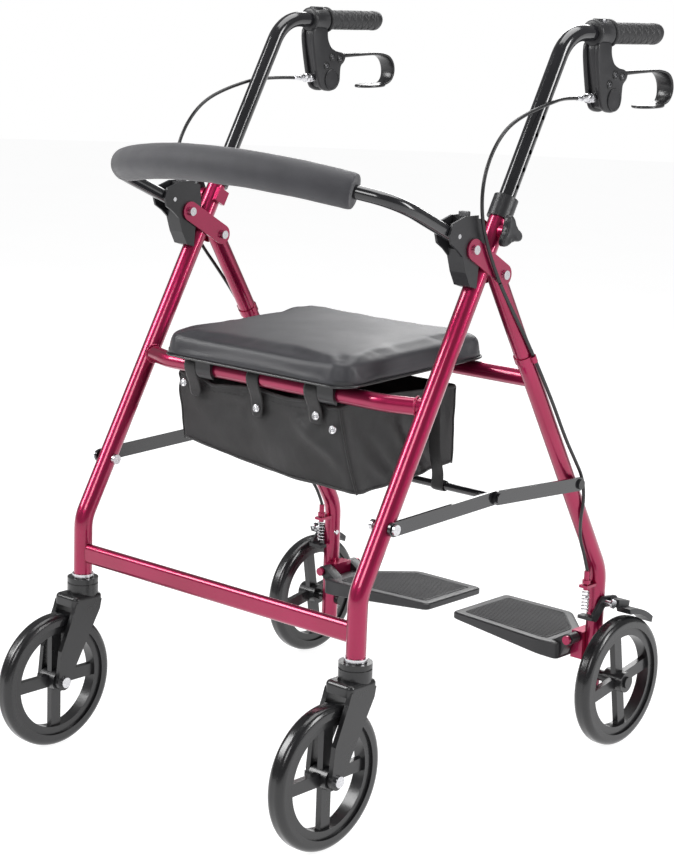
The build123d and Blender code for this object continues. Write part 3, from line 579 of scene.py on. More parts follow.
split_finish("cable_guides", lambda c: "plastic" if c.z > 0.5 else "steel" if c.y < 0.2685 and (abs(abs(c.x) - 0.255)) < 0.0062 and (c.z > 0.2265 or c.z < 0.2185) and c.y < 0.2675 else "red")
split_finish("frame_bolts", lambda c: "steel" if c.z > 0.6 else "satin")
for s in LR:
    split_finish("caster_hardware" + s, lambda c: "satin" if c.z < 0.14 else "steel")
split_finish("rear_axles", lambda c: "satin")

# ------------------------------------------------------------------ floor and light
floor_mat, nt, b = nodes_of("floor")
co = coords(nt)
fn = tex(nt, "ShaderNodeTexNoise", 3, 2, 0.5)
nt.links.new(co, fn.inputs["Vector"])
nt.links.new(ramp(nt, fn.outputs["Fac"], [(0.3, (0.30, 0.30, 0.305)), (0.7, (0.32, 0.32, 0.325))]), b.inputs["Base Color"])
b.inputs["Roughness"].default_value = 0.8
b.inputs["Specular IOR Level"].default_value = 0.05
b.inputs["Emission Color"].default_value = (1, 1, 1, 1)
b.inputs["Emission Strength"].default_value = 0.895
floor = obj_of("floor", [(-11, -11, -0.0005), (11, -11, -0.0005), (11, 11, -0.0005), (-11, 11, -0.0005)], [(0, 1, 2, 3)], floor_mat)

# a white backdrop all round, lit by itself
back_mat, nt, b = nodes_of("backdrop")
b.inputs["Base Color"].default_value = (0, 0, 0, 1)
b.inputs["Specular IOR Level"].default_value = 0.0
b.inputs["Emission Color"].default_value = (1, 1, 1, 1)
b.inputs["Emission Strength"].default_value = 1.0
vs, fs = [], []
for i in range(13):
    a = math.radians(7.5 * i)
    for k in range(48):
        t = 2 * math.pi * k / 48
        vs.append((11.5 * math.cos(a) * math.cos(t), 11.5 * math.cos(a) * math.sin(t), 11.5 * math.sin(a) - 0.4))
for i in range(12):
    for k in range(48):
        l = (k + 1) % 48
        fs.append((i * 48 + k, i * 48 + l, (i + 1) * 48 + l, (i + 1) * 48 + k))
dome = obj_of("backdrop", vs, fs, back_mat)
dome.visible_diffuse = False
dome.visible_glossy = False
dome.visible_shadow = False
dome.visible_transmission = False

world = bpy.data.worlds.new("studio")
bpy.context.scene.world = world
world.use_nodes = True
bg = world.node_tree.nodes["Background"]
bg.inputs[0].default_value = (1, 1, 1, 1)
bg.inputs[1].default_value = 0.22


def area(name, at, to, size, power, colour=(1, 1, 1)):
    d = bpy.data.lights.new(name, "AREA")
    d.shape = "RECTANGLE"
    d.size, d.size_y = size
    d.energy = power
    d.color = colour
    o = bpy.data.objects.new(name, d)
    bpy.context.scene.collection.objects.link(o)
    o.location = at
    o.rotation_euler = (Vector(to) - Vector(at)).to_track_quat("-Z", "Y").to_euler()


area("key", (-1.9, -1.9, 2.2), (0, 0, 0.5), (0.9, 1.6), 62)
area("front", (1.2, -3.0, 2.4), (0, 0, 0.5), (1.2, 1.2), 34)
area("rim", (2.8, 1.0, 1.8), (0, 0, 0.5), (0.7, 1.8), 50)
area("top", (0, 0.5, 3.0), (0, 0, 0.4), (2.0, 2.0), 48)
area("rear", (-1.4, 2.6, 1.9), (0, 0, 0.5), (1.4, 1.4), 30)

bpy.context.scene.view_settings.view_transform = "Standard"
bpy.context.scene.view_settings.exposure = 0.0

# ------------------------------------------------------------------ seat pad
TILT = math.radians(2.15)


def seat_pt(x, y, z):
    """From the seat's own frame (millimetres) to the frame in metres."""
    return V(x, y * math.cos(TILT) - z * math.sin(TILT) - 130.0, y * math.sin(TILT) + z * math.cos(TILT) + 542.5)


def round_rect(x0, x1, y0, y1, r, n=9, per_side=14):
    pts = []
    for cx, cy, a0 in ((x1 - r, y0 + r, -90), (x1 - r, y1 - r, 0), (x0 + r, y1 - r, 90), (x0 + r, y0 + r, 180)):
        pts += arc_pts(cx, cy, r, a0, a0 + 90, n)
    out = []
    for i, p in enumerate(pts):
        q = pts[(i + 1) % len(pts)]
        out.append(p)
        d = math.hypot(q[0] - p[0], q[1] - p[1])
        k = int(d // 14)
        for j in range(1, k):
            out.append((p[0] + (q[0] - p[0]) * j / k, p[1] + (q[1] - p[1]) * j / k))
    return out


def loft(name, loops, place, mat, cap_first=True, cap_last=True, sharp=50):
    n = len(loops[0][0])
    verts, faces = [], []
    for pts, z in loops:
        for p in pts:
            verts.append(place(p[0], p[1], z))
    for k in range(len(loops) - 1):
        for i in range(n):
            j = (i + 1) % n
            faces.append((k * n + i, k * n + j, (k + 1) * n + j, (k + 1) * n + i))
    if cap_first:
        faces.append(tuple(reversed(range(n))))
    if cap_last:
        faces.append(tuple(range((len(loops) - 1) * n, len(loops) * n)))
    return obj_of(name, verts, faces, mat, True, sharp)


def swell(o, pinned, pressure, cap, frames=20):
    """Blows a closed form up as cloth, and applies the result."""
    grp = o.vertex_groups.new(name="pin")
    for v in o.data.vertices:
        if pinned(v.co):
            grp.add([v.index], 1.0, "REPLACE")
    start = np.empty(len(o.data.vertices) * 3)
    o.data.vertices.foreach_get("co", start)
    m = o.modifiers.new("cloth", "CLOTH")
    s = m.settings
    s.quality = 6
    s.mass = 0.3
    s.use_pressure = True
    s.uniform_pressure_force = pressure
    s.vertex_group_mass = "pin"
    s.tension_stiffness = 25
    s.compression_stiffness = 25
    s.shear_stiffness = 12
    s.bending_stiffness = 2.0
    s.effector_weights.gravity = 0
    m.collision_settings.use_collision = False
    m.collision_settings.use_self_collision = False
    m.point_cache.frame_start, m.point_cache.frame_end = 1, frames
    sc = bpy.context.scene
    for f in range(1, frames + 1):
        sc.frame_set(f)
    dg = bpy.context.evaluated_depsgraph_get()
    me = bpy.data.meshes.new_from_object(o.evaluated_get(dg))
    now = np.empty(len(me.vertices) * 3)
    me.vertices.foreach_get("co", now)
    a, b = start.reshape(-1, 3), now.reshape(-1, 3)
    d = b - a
    l = np.linalg.norm(d, axis=1, keepdims=True)
    d = np.where(l > cap, d * cap / np.maximum(l, 1e-9), d)
    me.vertices.foreach_set("co", (a + d).ravel())
    me.update()
    o.modifiers.clear()
    o.vertex_groups.clear()
    o.data = me
    sc.frame_set(1)
    return o


X0, X1, Y0, Y1 = -169.5, 169.5, -43.5, 259.5
loops = []
for inset, z in [(3, 18.4), (1.2, 19.0), (0.2, 21), (0, 27), (0, 34), (0.6, 41.5)] + [(1.0 + 10 * (1 - math.cos(math.radians(a))), 41.5 + 9.3 * math.sin(math.radians(a))) for a in (20, 40, 58, 75, 90)] + [(20, 51.0), (40, 51.4), (75, 51.8), (115, 52.1), (140, 52.2)]:
    r = max(30 - inset * 0.72, 3)
    loops.append((round_rect(X0 + inset, X1 - inset, Y0 + inset, Y1 - inset, r) if inset < 60 else None, z, inset))
base = loops[3][0]
fixed = []
cx, cy = 0.0, (Y0 + Y1) / 2
for pts, z, inset in loops:
    # every loop has the same number of points: the outline drawn in towards the middle
    kx = (169.5 - inset) / 169.5
    ky = (151.5 - inset) / 151.5
    fixed.append(([(p[0] * kx, cy + (p[1] - cy) * ky) for p in base], z))
pad = loft("seat_pad_skin", fixed, seat_pt, "seat")
modify(pad, "REMESH", mode="VOXEL", voxel_size=0.0048)
apply(pad)
low_z = [seat_pt(0, y, 22.0) for y in (0, 200)]
slope = (low_z[1].z - low_z[0].z) / (low_z[1].y - low_z[0].y)
swell(pad, lambda c: c.z < low_z[0].z + slope * (c.y - low_z[0].y), 4.0, 0.0042)
modify(pad, "SMOOTH", iterations=4, factor=0.5)
modify(pad, "SUBSURF", levels=1, render_levels=1)
apply(pad)
pad.data.materials.clear()
pad.data.materials.append(M["seat"])
for p in pad.data.polygons:
    p.use_smooth = True
    p.material_index = 0
lip_pts = [seat_pt(p[0] * 1.004, cy + (p[1] - cy) * 1.001, 19.6) for p in base]
lip_pts.append(lip_pts[0])
lip = tube_along("lip", lip_pts, 0.0016, "satin", 10, False)
pad = join("seat_pad_skin", [pad, lip])
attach(pad, "seat")
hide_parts("seat_pad")

# ------------------------------------------------------------------ backrest foam
CB, SB = math.cos(math.radians(23.5)), math.sin(math.radians(23.5))


def back_pt(x, s):
    return V(x, -57 - s * CB, 750.5 + s * SB)


R_ARC = 463.0
half = math.asin(204.0 / R_ARC)
s_mid = 212.0 - R_ARC
N = 90
verts, faces = [], []
sides = 56
for i in range(N + 1):
    # the last rings turn the square ends in to the bar
    t = -1 + 2 * i / N
    a = half * t
    p = back_pt(R_ARC * math.sin(a), s_mid + R_ARC * math.cos(a))
    d = (back_pt(R_ARC * math.sin(a + 0.001), s_mid + R_ARC * math.cos(a + 0.001)) - p).normalized()
    nrm = Vector((0, SB, CB))
    bi = d.cross(nrm).normalized()
    nrm = bi.cross(d).normalized()
    edge = min(i, N - i)
    r = 0.0236 - (0.0016 if edge == 0 else 0.0004 if edge == 1 else 0)
    r -= 0.0006 * math.exp(-((edge * 408 / N - 14) / 8) ** 2)
    for k in range(sides):
        th = 2 * math.pi * k / sides
        q = p + nrm * math.cos(th) * r + bi * math.sin(th) * r
        w = noise.noise(q * 22) * 0.0007 + noise.noise(q * 70) * 0.00022
        verts.append(q + (q - p).normalized() * w)
for i in range(N):
    for k in range(sides):
        l = (k + 1) % sides
        faces.append((i * sides + k, i * sides + l, (i + 1) * sides + l, (i + 1) * sides + k))
# flat end faces, closed across the middle where the bar goes in
for i, t in ((0, -1), (N, 1)):
    a = half * t
    p = back_pt(R_ARC * math.sin(a), s_mid + R_ARC * math.cos(a))
    ring = list(range(i * sides, (i + 1) * sides))
    prev = ring
    for f, dep in ((0.94, 0.0), (0.62, 0.0), (0.395, -0.001)):
        start = len(verts)
        for k in range(sides):
            q = verts[ring[k]]
            verts.append(p + (q - p) * f)
        for k in range(sides):
            l = (k + 1) % sides
            faces.append((prev[k], prev[l], start + l, start + k))
        prev = list(range(start, start + sides))
    faces.append(tuple(prev))
foam_o = obj_of("backrest_sleeve", verts, faces, "foam", True, 55)
modify(foam_o, "SUBSURF", levels=1, render_levels=1)
apply(foam_o)
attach(foam_o, "backrest")
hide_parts("backrest_foam")

# ------------------------------------------------------------------ storage bag
# corners at the top and at the bottom: front left, front right, rear right, rear left
TOP_C = [(-181, -124), (122, -127), (160, 72), (-174, 72)]
BOT_C = [(-178, -116), (144, -112), (166, 66), (-168, 58)]
BOT_Z = [432, 408, 428, 436]
SIDE_N, CORN_N, ROWS = 30, 7, 34


def outline(corners, cut, zs=None):
    pts = []
    for j in range(4):
        p, a, b = Vector(corners[j]), Vector(corners[j - 1]), Vector(corners[(j + 1) % 4])
        s, e = p + (a - p).normalized() * cut, p + (b - p).normalized() * cut
        for k in range(CORN_N):
            t = k / (CORN_N - 1)
            pts.append(((1 - t) ** 2 * s + 2 * t * (1 - t) * p + t * t * e, j, 0.0))
        nxt = Vector(corners[(j + 1) % 4])
        s2 = nxt + (p - nxt).normalized() * cut
        for k in range(1, SIDE_N):
            t = k / SIDE_N
            pts.append((e + (s2 - e) * t, j, t))
    return pts


SNAPS = [(-167, 521), (-45, 506), (88, 514), (118, 499)]
verts, faces = [], []
ntop = outline(TOP_C, 9)
nbot = outline(BOT_C, 13)
n = len(ntop)
for r in range(ROWS + 1):
    v = r / ROWS
    for (pt, j, s), (pb, _, _) in zip(ntop, nbot):
        p = pt.lerp(pb, v ** 1.3)
        zb = BOT_Z[j] * (1 - s) + BOT_Z[(j + 1) % 4] * s
        zt = 527.0 if j == 0 else 527.0 + 7.0 * s if j == 1 else 534.0 if j == 2 else 534.0 - 7.0 * s
        if j == 0 and s > 0:
            # the front edge droops between its three loops
            x = p.x
            for a, b in ((-180, -137), (-137, -27), (-27, 85), (85, 124)):
                if a <= x <= b:
                    zt -= 6.0 * math.sin(math.pi * (x - a) / (b - a)) * min(1, (b - a) / 90)
        if p.y < -95:
            # room for the seat's saddle clips to turn
            zt -= 6.0 * math.exp(-((abs(p.x) - 112) / 17) ** 2)
        if j == 0:
            zb -= 6.0 * math.sin(math.pi * s)
        z = zt + (zb - zt) * v
        out = Vector((0, 0))
        if j == 0:
            out = Vector((0, -1))
        elif j == 1:
            out = Vector((0.96, -0.28))
        elif j == 2:
            out = Vector((0, 1))
        else:
            out = Vector((-1, 0))
        side = math.sin(math.pi * s) if s > 0 else 0.0
        d = 0.0
        if j == 0:
            d += 4.0 * side * math.sin(math.pi * min(1, v * 1.1)) + 2.2 * math.sin(2 * math.pi * s * 1.5 + 0.7) * v
            for sx, sz in SNAPS:
                dx, dz = p.x - sx, z - sz
                rr = math.hypot(dx, dz)
                ang = math.atan2(dz, dx)
                d += 2.6 * math.exp(-rr / 55) * (1 - math.exp(-(rr / 14) ** 2)) * math.cos(5 * ang + sx * 0.05)
            # long soft folds falling from the right-hand snaps to the low corner
            f1 = (p.x - 40) * 0.62 + (z - 500) * 0.95
            d += 3.4 * math.exp(-(f1 / 13) ** 2) * min(1, max(0, (p.x - 15) / 50))
            f2 = (p.x - 84) * 0.55 + (z - 470) * 0.85
            d += 2.6 * math.exp(-(f2 / 10) ** 2) * min(1, max(0, (p.x - 25) / 50))
        elif j == 1:
            # slack gusset: it buckles inward, with pleats running down to the low corner
            d -= 17 * side * math.sin(math.pi * min(1, 0.12 + v))
            f1 = s * 150 - (533 - z) * 0.55 - 20
            d += 6.5 * side * math.sin(f1 / 11.0) * (0.35 + 0.65 * v)
        elif j == 2:
            d += 5.0 * side * v
        else:
            d -= 7 * side * math.sin(math.pi * v)
            d += 3.0 * side * math.sin((s * 176 - (533 - z) * 0.5) / 13)
        q3 = Vector((p.x, p.y, z)) * 0.001
        # crumple
        d += 2.4 * noise.noise(q3 * 17 + Vector((3, 1, 7))) * min(1, v * 4 + 0.15)
        d += 1.1 * noise.noise(q3 * 44 + Vector((5, 2, 9))) * min(1, v * 4 + 0.1)
        p = p + out * d
        z += 1.6 * noise.noise(q3 * 15 + Vector((11, 4, 2))) * v
        verts.append(V(p.x, p.y, z))
for r in range(ROWS):
    for i in range(n):
        k = (i + 1) % n
        faces.append((r * n + i, r * n + k, (r + 1) * n + k, (r + 1) * n + i))
# the bottom: rows drawn in to the middle, hanging a little
last = verts[ROWS * n:]
mid = sum(last, Vector()) / n
prev = ROWS * n
for f in (0.97, 0.9, 0.78, 0.62, 0.44, 0.24, 0.08):
    start = len(verts)
    for p in last:
        q = mid + (p - mid) * f
        edge_drop = 0.004 * math.sin(math.pi * min(1, (1 - f) * 2.4)) if f > 0.58 else 0.0
        q.z -= edge_drop + 0.004 * (1 - f)
        q.z += 0.0022 * noise.noise(q * 24)
        verts.append(q)
    for i in range(n):
        k = (i + 1) % n
        faces.append((prev + i, prev + k, start + k, start + i))
    prev = start
faces.append(tuple(range(prev, prev + n)))
bag = obj_of("bag_shell", verts, faces, "bag", True, 75)
modify(bag, "SOLIDIFY", thickness=0.0014, offset=-1)
modify(bag, "SUBSURF", levels=1, render_levels=1)
apply(bag)
for p in bag.data.polygons:
    p.use_smooth = True
parts = [bag]


def row_line(i, r0=0, r1=ROWS, push=0.0008):
    pts = []
    c = Vector((0, 0, 0))
    for r in range(r0, r1 + 1):
        p = verts[r * n + i]
        o = Vector((p.x - mid.x, p.y - mid.y, 0)).normalized()
        pts.append(p + o * push)
    return pts


per = CORN_N + SIDE_N - 1
for j in (0, 1, 2):
    parts.append(tube_along("piping", row_line(j * per + CORN_N // 2), 0.0015, "strap", 8))
hem_pts = [verts[i] + Vector((0, 0, 0.0005)) for i in range(n)]
hem_pts.append(hem_pts[0])
parts.append(tube_along("hem", hem_pts, 0.0021, "strap", 8, False, oval=(0.8, 1.3)))
low_pts = [verts[(ROWS - 1) * n + i] + (verts[(ROWS - 1) * n + i] - mid).normalized() * 0.0006 for i in range(n)]
low_pts.append(low_pts[0])
parts.append(tube_along("seam", low_pts, 0.0011, "strap", 8, False))
# a stitch row under the hem, along the front
front_i = [per * 0 + CORN_N + k for k in range(1, SIDE_N - 1)]


def stitches(name, pts, push, length=0.0032, gap=0.0022):
    out = []
    for a, b in zip(pts, pts[1:]):
        d = b - a
        m = max(1, int(d.length / (length + gap)))
        for k in range(m):
            s = a + d * ((k + 0.15) / m)
            e = a + d * ((k + 0.72) / m)
            out.append(tube_along(name, [s + push, (s + e) / 2 + push * 1.35, e + push], 0.00032, "strap", 6))
    return out


st = stitches("st", [verts[3 * n + i] for i in front_i], Vector((0, -0.0007, 0)))
parts += st
bag_o = join("bag_body", parts)
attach(bag_o, "front_frame")
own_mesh(bag_o)
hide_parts("storage_bag")


def strip(name, path, x, width, thick, mat, normal_out=None, taper=None):
    """A flat strap: path of (y, z) in drawing millimetres, constant x."""
    pts = [V(x, y, z) for y, z in path]
    m = len(pts)
    vs, fs = [], []
    for i, p in enumerate(pts):
        a, b = pts[max(0, i - 1)], pts[min(m - 1, i + 1)]
        d = (b - a).normalized()
        nn = Vector((1, 0, 0)).cross(d).normalized()
        w = (taper[i] if taper else width) / 2000
        for sx in (-1, 1):
            for sn in (-0.5, 0.5):
                vs.append(p + Vector((sx * w, 0, 0)) + nn * (sn * thick / 1000))
    for i in range(m - 1):
        a, b = i * 4, (i + 1) * 4
        fs += [(a, a + 1, b + 1, b), (a + 2, b + 2, b + 3, a + 3), (a, b, b + 2, a + 2), (a + 1, a + 3, b + 3, b + 1)]
    fs += [(0, 2, 3, 1), ((m - 1) * 4, (m - 1) * 4 + 1, (m - 1) * 4 + 3, (m - 1) * 4 + 2)]
    return obj_of(name, vs, fs, mat, True, 35)


def snap(x, y, z, tilt=0.0, oval=1.0):
    """A press stud: cap with a rolled rim and a dished middle, facing forward."""
    prof = [(0.0, 7.2), (0.9, 7.2), (1.7, 6.6), (2.0, 5.7), (1.6, 4.6), (1.1, 3.4), (1.5, 2.4), (1.9, 1.4), (2.0, 0.2)]
    return lathe("snap", [(a, b * 0.78 * oval) for a, b in prof], V(x, y, z), (0.12, -1, 0.1 + tilt), "steel", 40, 60)


loops_o = []
TUBE = 11.9
for x, w, tip in ((-140, 25, 503), (-22, 25, 492), (84, 28, 500)):
    path = [(-110.6, 516), (-113, 524), (-116.6, 533)]
    path = [(-117.2, 524)]
    path += [(-130 + (TUBE + 1.0) * math.cos(math.radians(a)), 542.5 + (TUBE + 1.0) * math.sin(math.radians(a))) for a in range(-10, 200, 14)]
    path += [(-140.5, 532), (-136.8, 524.5), (-133.4, 518), (-131.6, 511.5), (-130.8, (512 + tip) / 2), (-130.6, tip), (-130.2, tip - 4)]
    wd = [w] * (len(path) - 2) + [w - 3, w - 9]
    s1 = strip("loop", path, x, w, 1.5, "strap", taper=wd)
    modify(s1, "SUBSURF", levels=1, render_levels=1)
    apply(s1)
    loops_o.append(s1)
loops_o.append(snap(-22, -132.2, 501))
loops_o.append(snap(86, -132.6, 508, 0, 1.05))
loops_o.append(snap(-163, -131.0, 515))
loops_o.append(snap(116, -132.4, 494))
hang = join("bag_loops", loops_o)
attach(hang, "front_frame")

# ------------------------------------------------------------------ pull strap
my, mz = 21.7, 407.3
path = []
for a in range(-200, 60, 20):
    path.append((my + 7.2 * math.cos(math.radians(a + 30)), mz + 7.2 * math.sin(math.radians(a + 30))))
path = path[::-1] + [(17.5, 424), (11, 440), (6.5, 460), (4.5, 485), (3.5, 510), (3.5, 534), (4.0, 546)]
ps = strip("pull_strap_web", path, 177, 22, 1.6, "strap")
modify(ps, "SUBSURF", levels=2, render_levels=2)
apply(ps)
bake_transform(ps)
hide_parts("pull_strap")

# ------------------------------------------------------------------ brake cables
UPPER = [(255, 188.8, 926), (256.5, 163, 926.6), (261, 136, 926), (269.4, 109, 924.0), (270.8, 78, 917.5), (271.2, 45, 909),
         (271.6, 14, 897.5), (272.4, -9.5, 881.5), (273.4, -28.8, 859), (274.4, -41.5, 833), (274.9, -45.3, 804), (274.9, -40.8, 775),
         (274.9, -29.6, 747.5), (274.8, -14.7, 720.3), (274.3, 1.6, 696.2)]
LOWER = [(274.3, 2.8, 694.6), (273.6, 16, 678), (272.2, 35.6, 656), (271.0, 70.3, 616), (270.7, 107.3, 567), (270.7, 143.1, 517),
         (270.7, 175.9, 466), (270.6, 203, 431), (270.2, 224.5, 403), (271.2, 230, 372), (268.8, 227.5, 342), (261, 241, 309),
         (255.6, 262, 283), (255, 273, 256.3)]
up_line = smooth_line([V(*p) for p in UPPER], 10)
low_line = smooth_line([V(*p) for p in LOWER], 10)
upper = tube_along("brake_line_upper_left", up_line, 0.0024, "cable", 14)
lower = tube_along("brake_line_lower_left", low_line, 0.0024, "cable", 14)
# crimped ferrules on the ends of the outer casing
fer = lathe("ferrule", [(0, 3.0), (0.6, 3.2), (11, 3.2), (12, 2.9), (12.2, 2.45)], up_line[0] + Vector((0, 0.001, 0)), (0.05, -1, 0), "steel", 28)
upper = join("brake_line_upper_left", [upper, fer])
for s, o in (("left", upper), ("right", mirrored(upper, "brake_line_upper_right"))):
    sx = 1 if s == "left" else -1
    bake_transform(o)
    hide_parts("brake_cable_upper_" + s)
for s, o in (("left", lower), ("right", mirrored(lower, "brake_line_lower_right"))):
    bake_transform(o)
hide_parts("brake_cables_lower")

# ------------------------------------------------------------------ grips
GZ, GY0, GY1, GR = 1011.8, 242.0, 362.0, 14.3
rings, sides = 150, 112
verts, faces = [], []
for i in range(rings + 1):
    y = GY0 + 2 + (GY1 - GY0 - 2) * i / rings
    e = (y - GY0) / (GY1 - GY0)
    body = 1.0
    r0 = GR + 0.35 * math.sin(math.pi * e)
    end = max(0.0, (y - (GY1 - 9)) / 9)
    for k in range(sides):
        th = 2 * math.pi * k / sides
        r = r0
        pat = 0.0
        if 10 < y - GY0 < GY1 - GY0 - 14:
            a = (y - GY0) / 15.0 + th * 3 / (2 * math.pi)
            b = (y - GY0) / 15.0 - th * 3 / (2 * math.pi)
            fa, fb = abs((a % 1.0) - 0.5) * 2, abs((b % 1.0) - 0.5) * 2
            pat = -0.9 * math.exp(-((1 - fa) / 0.16) ** 2) - 0.9 * math.exp(-((1 - fb) / 0.16) ** 2)
            fade = min(1, (y - GY0 - 10) / 3, (GY1 - 14 - y) / 3)
            pat *= max(0, fade)
        elif y - GY0 > GY1 - GY0 - 13.5:
            pat = 0.45
        # the end is rounded more underneath
        under = 0.5 - 0.5 * math.sin(th)
        r = r0 + pat
        if end > 0:
            r *= math.sqrt(max(0.0, 1 - (end * (0.45 + 0.35 * under)) ** 2.4))
        verts.append(V(255 + r * math.cos(th), y, GZ + r * math.sin(th)))
for i in range(rings):
    for k in range(sides):
        l = (k + 1) % sides
        faces.append((i * sides + k, i * sides + l, (i + 1) * sides + l, (i + 1) * sides + k))
for f, yy in ((0.8, GY1 + 0.3), (0.4, GY1 + 0.5)):
    start = len(verts)
    for k in range(sides):
        p = verts[rings * sides + k]
        verts.append(V(255 + (p.x * 1000 - 255) * f, yy, GZ + (p.z * 1000 - GZ) * f))
    prev = start - sides if f != 0.8 else rings * sides
    for k in range(sides):
        l = (k + 1) % sides
        faces.append((prev + k, prev + l, start + l, start + k))
faces.append(tuple(range(len(verts) - sides, len(verts))))
faces.append(tuple(range(sides)))
g_body = obj_of("grip_sleeve_left", verts, faces, "grip", True, 60)
flange = lathe("flange", [(0, 11.4), (0, 17.2), (1.2, 18.6), (3.2, 19.0), (4.8, 18.2), (6.4, 15.4), (8.5, 14.3), (8.5, 11.4)], V(255, GY0 - 2, GZ), (0, 1, 0), "grip", 72, 50)
g = join("grip_sleeve_left", [g_body, flange])
for s, o in (("left", g), ("right", mirrored(g, "grip_sleeve_right"))):
    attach(o, "handle_" + s)
    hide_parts("grip_" + s)

# ------------------------------------------------------------------ brake housings and levers
def smooth_closed(pts, per=6):
    """Chaikin-rounded outline."""
    for _ in range(2):
        out = []
        for i, p in enumerate(pts):
            q = pts[(i + 1) % len(pts)]
            out.append((p[0] * 0.8 + q[0] * 0.2, p[1] * 0.8 + q[1] * 0.2))
            out.append((p[0] * 0.2 + q[0] * 0.8, p[1] * 0.2 + q[1] * 0.8))
        pts = out
    return pts


def cheek(name, pts, x0, x1, mat, w=2.2, segs=3):
    o = extrude_yz(name, smooth_closed(pts), x0, x1, mat)
    return bevelled(o, w / 1000, segs, 40, 50)


def screw(p, axis, r=3.6, mat="steel", depth=1.6):
    """Recessed screw head: a pan with a cross slot cut as a dished well."""
    head = lathe("screw", [(-1.5, r), (0, r), (depth * 0.6, r * 0.93), (depth, r * 0.62), (depth, r * 0.42), (depth * 0.35, r * 0.34), (depth * 0.3, 0.05)], p, axis, mat, 36, 35)
    return head


HOUSE = [(204, 1001), (236, 1001), (237, 984), (244, 972), (256, 966), (272, 964), (279, 958), (276, 950), (268, 944),
         (267, 934), (267, 921), (261, 911), (247, 906), (233, 907), (222, 912), (214, 932), (207, 962), (203, 985)]
CORE = [(207, 1001), (236, 1001), (237, 984), (240, 972), (241, 960), (240, 940), (240, 922), (236, 912), (226, 912), (219, 932), (211, 962), (206, 985)]
h_parts = [cheek("h", HOUSE, 255 + 6.2, 255 + 13.0, "plastic"), cheek("h", HOUSE, 255 - 13.0, 255 - 6.2, "plastic"),
           cheek("h", CORE, 255 - 7.0, 255 + 7.0, "plastic", 1.0, 2)]
h_parts.append(lathe("clamp", [(0, 11.4), (0, 16.0), (1.0, 17.3), (3, 17.8), (6, 17.0), (8, 16.6), (26, 16.6), (29, 17.3), (31.5, 17.3), (32.5, 16.2), (32.5, 11.4)], V(255, 205, GZ), (0, 1, 0), "plastic", 72, 40))
h_parts.append(rounded_box("ear", (249, 212, 1024), (261, 232, 1031.0), 2.0, "plastic"))
h_parts.append(lathe("bolt", [(0, 3.2), (2.2, 3.2), (3.0, 2.6), (3.0, 1.5), (1.8, 1.4), (1.8, 0.1)], V(261, 222, 1027), (1, 0, 0), "steel", 28))
for sx in (-1, 1):
    x = 255 + sx * 13.0
    # plain blank disc with a raised rim, where such housings carry a badge
    h_parts.append(lathe("disc", [(-1, 15.6), (1.2, 15.6), (1.9, 15.0), (1.9, 14.0), (0.9, 13.3), (0.9, 6.0), (1.5, 0.1)], V(x, 247, 923.5), (sx, 0, 0), "plastic", 72, 30))
    for y, z in ((247, 957), (264.5, 954.5), (234.5, 944)):
        h_parts.append(lathe("well", [(-0.5, 5.9), (0.9, 5.9), (1.1, 5.5), (1.1, 4.7), (0.2, 4.5), (0.2, 0.1)], V(x, y, z), (sx, 0, 0), "satin", 40, 30))
        h_parts.append(lathe("scr", [(0, 3.6), (0.9, 3.4), (1.3, 2.4), (1.3, 1.5), (0.4, 1.3), (0.4, 0.1)], V(x + sx * 0.25, y, z), (sx, 0, 0), "dark", 30, 30))
h_parts.append(lathe("barrel", [(0, 5.6), (6, 5.6), (7, 6.4), (11, 6.4), (12, 5.2), (14, 5.2), (14.5, 6.6), (19.5, 6.6), (20, 5.4), (25, 4.4), (31, 3.9), (31.5, 2.5)], V(255, 221, 926), (0, -1, 0), "steel", 30, 28))
housing = join("brake_body_left", h_parts)


def lever_mesh():
    ctrl = [(240, 956.5, 11, 6.5), (256, 957, 11, 7.5), (270, 957.6, 10.5, 7.0), (284, 958.6, 10.5, 6.0), (305, 959.6, 13, 5.2), (330, 960.6, 17, 4.6), (352, 961.4, 21, 4.2),
            (368, 960.8, 25, 4.0), (382, 956.5, 28, 4.0), (391, 946, 28, 4.0), (393, 932.5, 27, 4.0), (389, 922.5, 25, 4.0), (381, 917.0, 23, 4.0), (370, 914.8, 20, 4.0), (356, 914.2, 14, 3.6)]
    line = smooth_line([(0, c[0], c[1]) for c in ctrl], 8)
    m = len(line)
    vs, fs = [], []
    K = 20
    for i, p in enumerate(line):
        t = i / (m - 1) * (len(ctrl) - 1)
        a = min(int(t), len(ctrl) - 2)
        f = t - a
        w = ctrl[a][2] * (1 - f) + ctrl[a + 1][2] * f
        th = ctrl[a][3] * (1 - f) + ctrl[a + 1][3] * f
        q, r = line[max(0, i - 1)], line[min(m - 1, i + 1)]
        d = (r - q).normalized()
        nn = Vector((1, 0, 0)).cross(d).normalized()
        for k in range(K):
            an = 2 * math.pi * k / K
            c, s = math.cos(an), math.sin(an)
            # rounded flat section, slightly dished across its width
            cx = math.copysign(abs(c) ** 0.45, c) * w / 2
            cn = math.copysign(abs(s) ** 0.6, s) * th / 2 + 1.2 * (cx / (w / 2)) ** 2 * (w / 28)
            pt = Vector((cx, p.y, p.z)) + nn * cn
            vs.append(V(255 + pt.x, pt.y, pt.z))
    for i in range(m - 1):
        for k in range(K):
            l = (k + 1) % K
            fs.append((i * K + k, i * K + l, (i + 1) * K + l, (i + 1) * K + k))
    fs.append(tuple(range(K)))
    fs.append(tuple((m - 1) * K + k for k in range(K)))
    return obj_of("lever_band", vs, fs, "satin", True, 60)


band = lever_mesh()
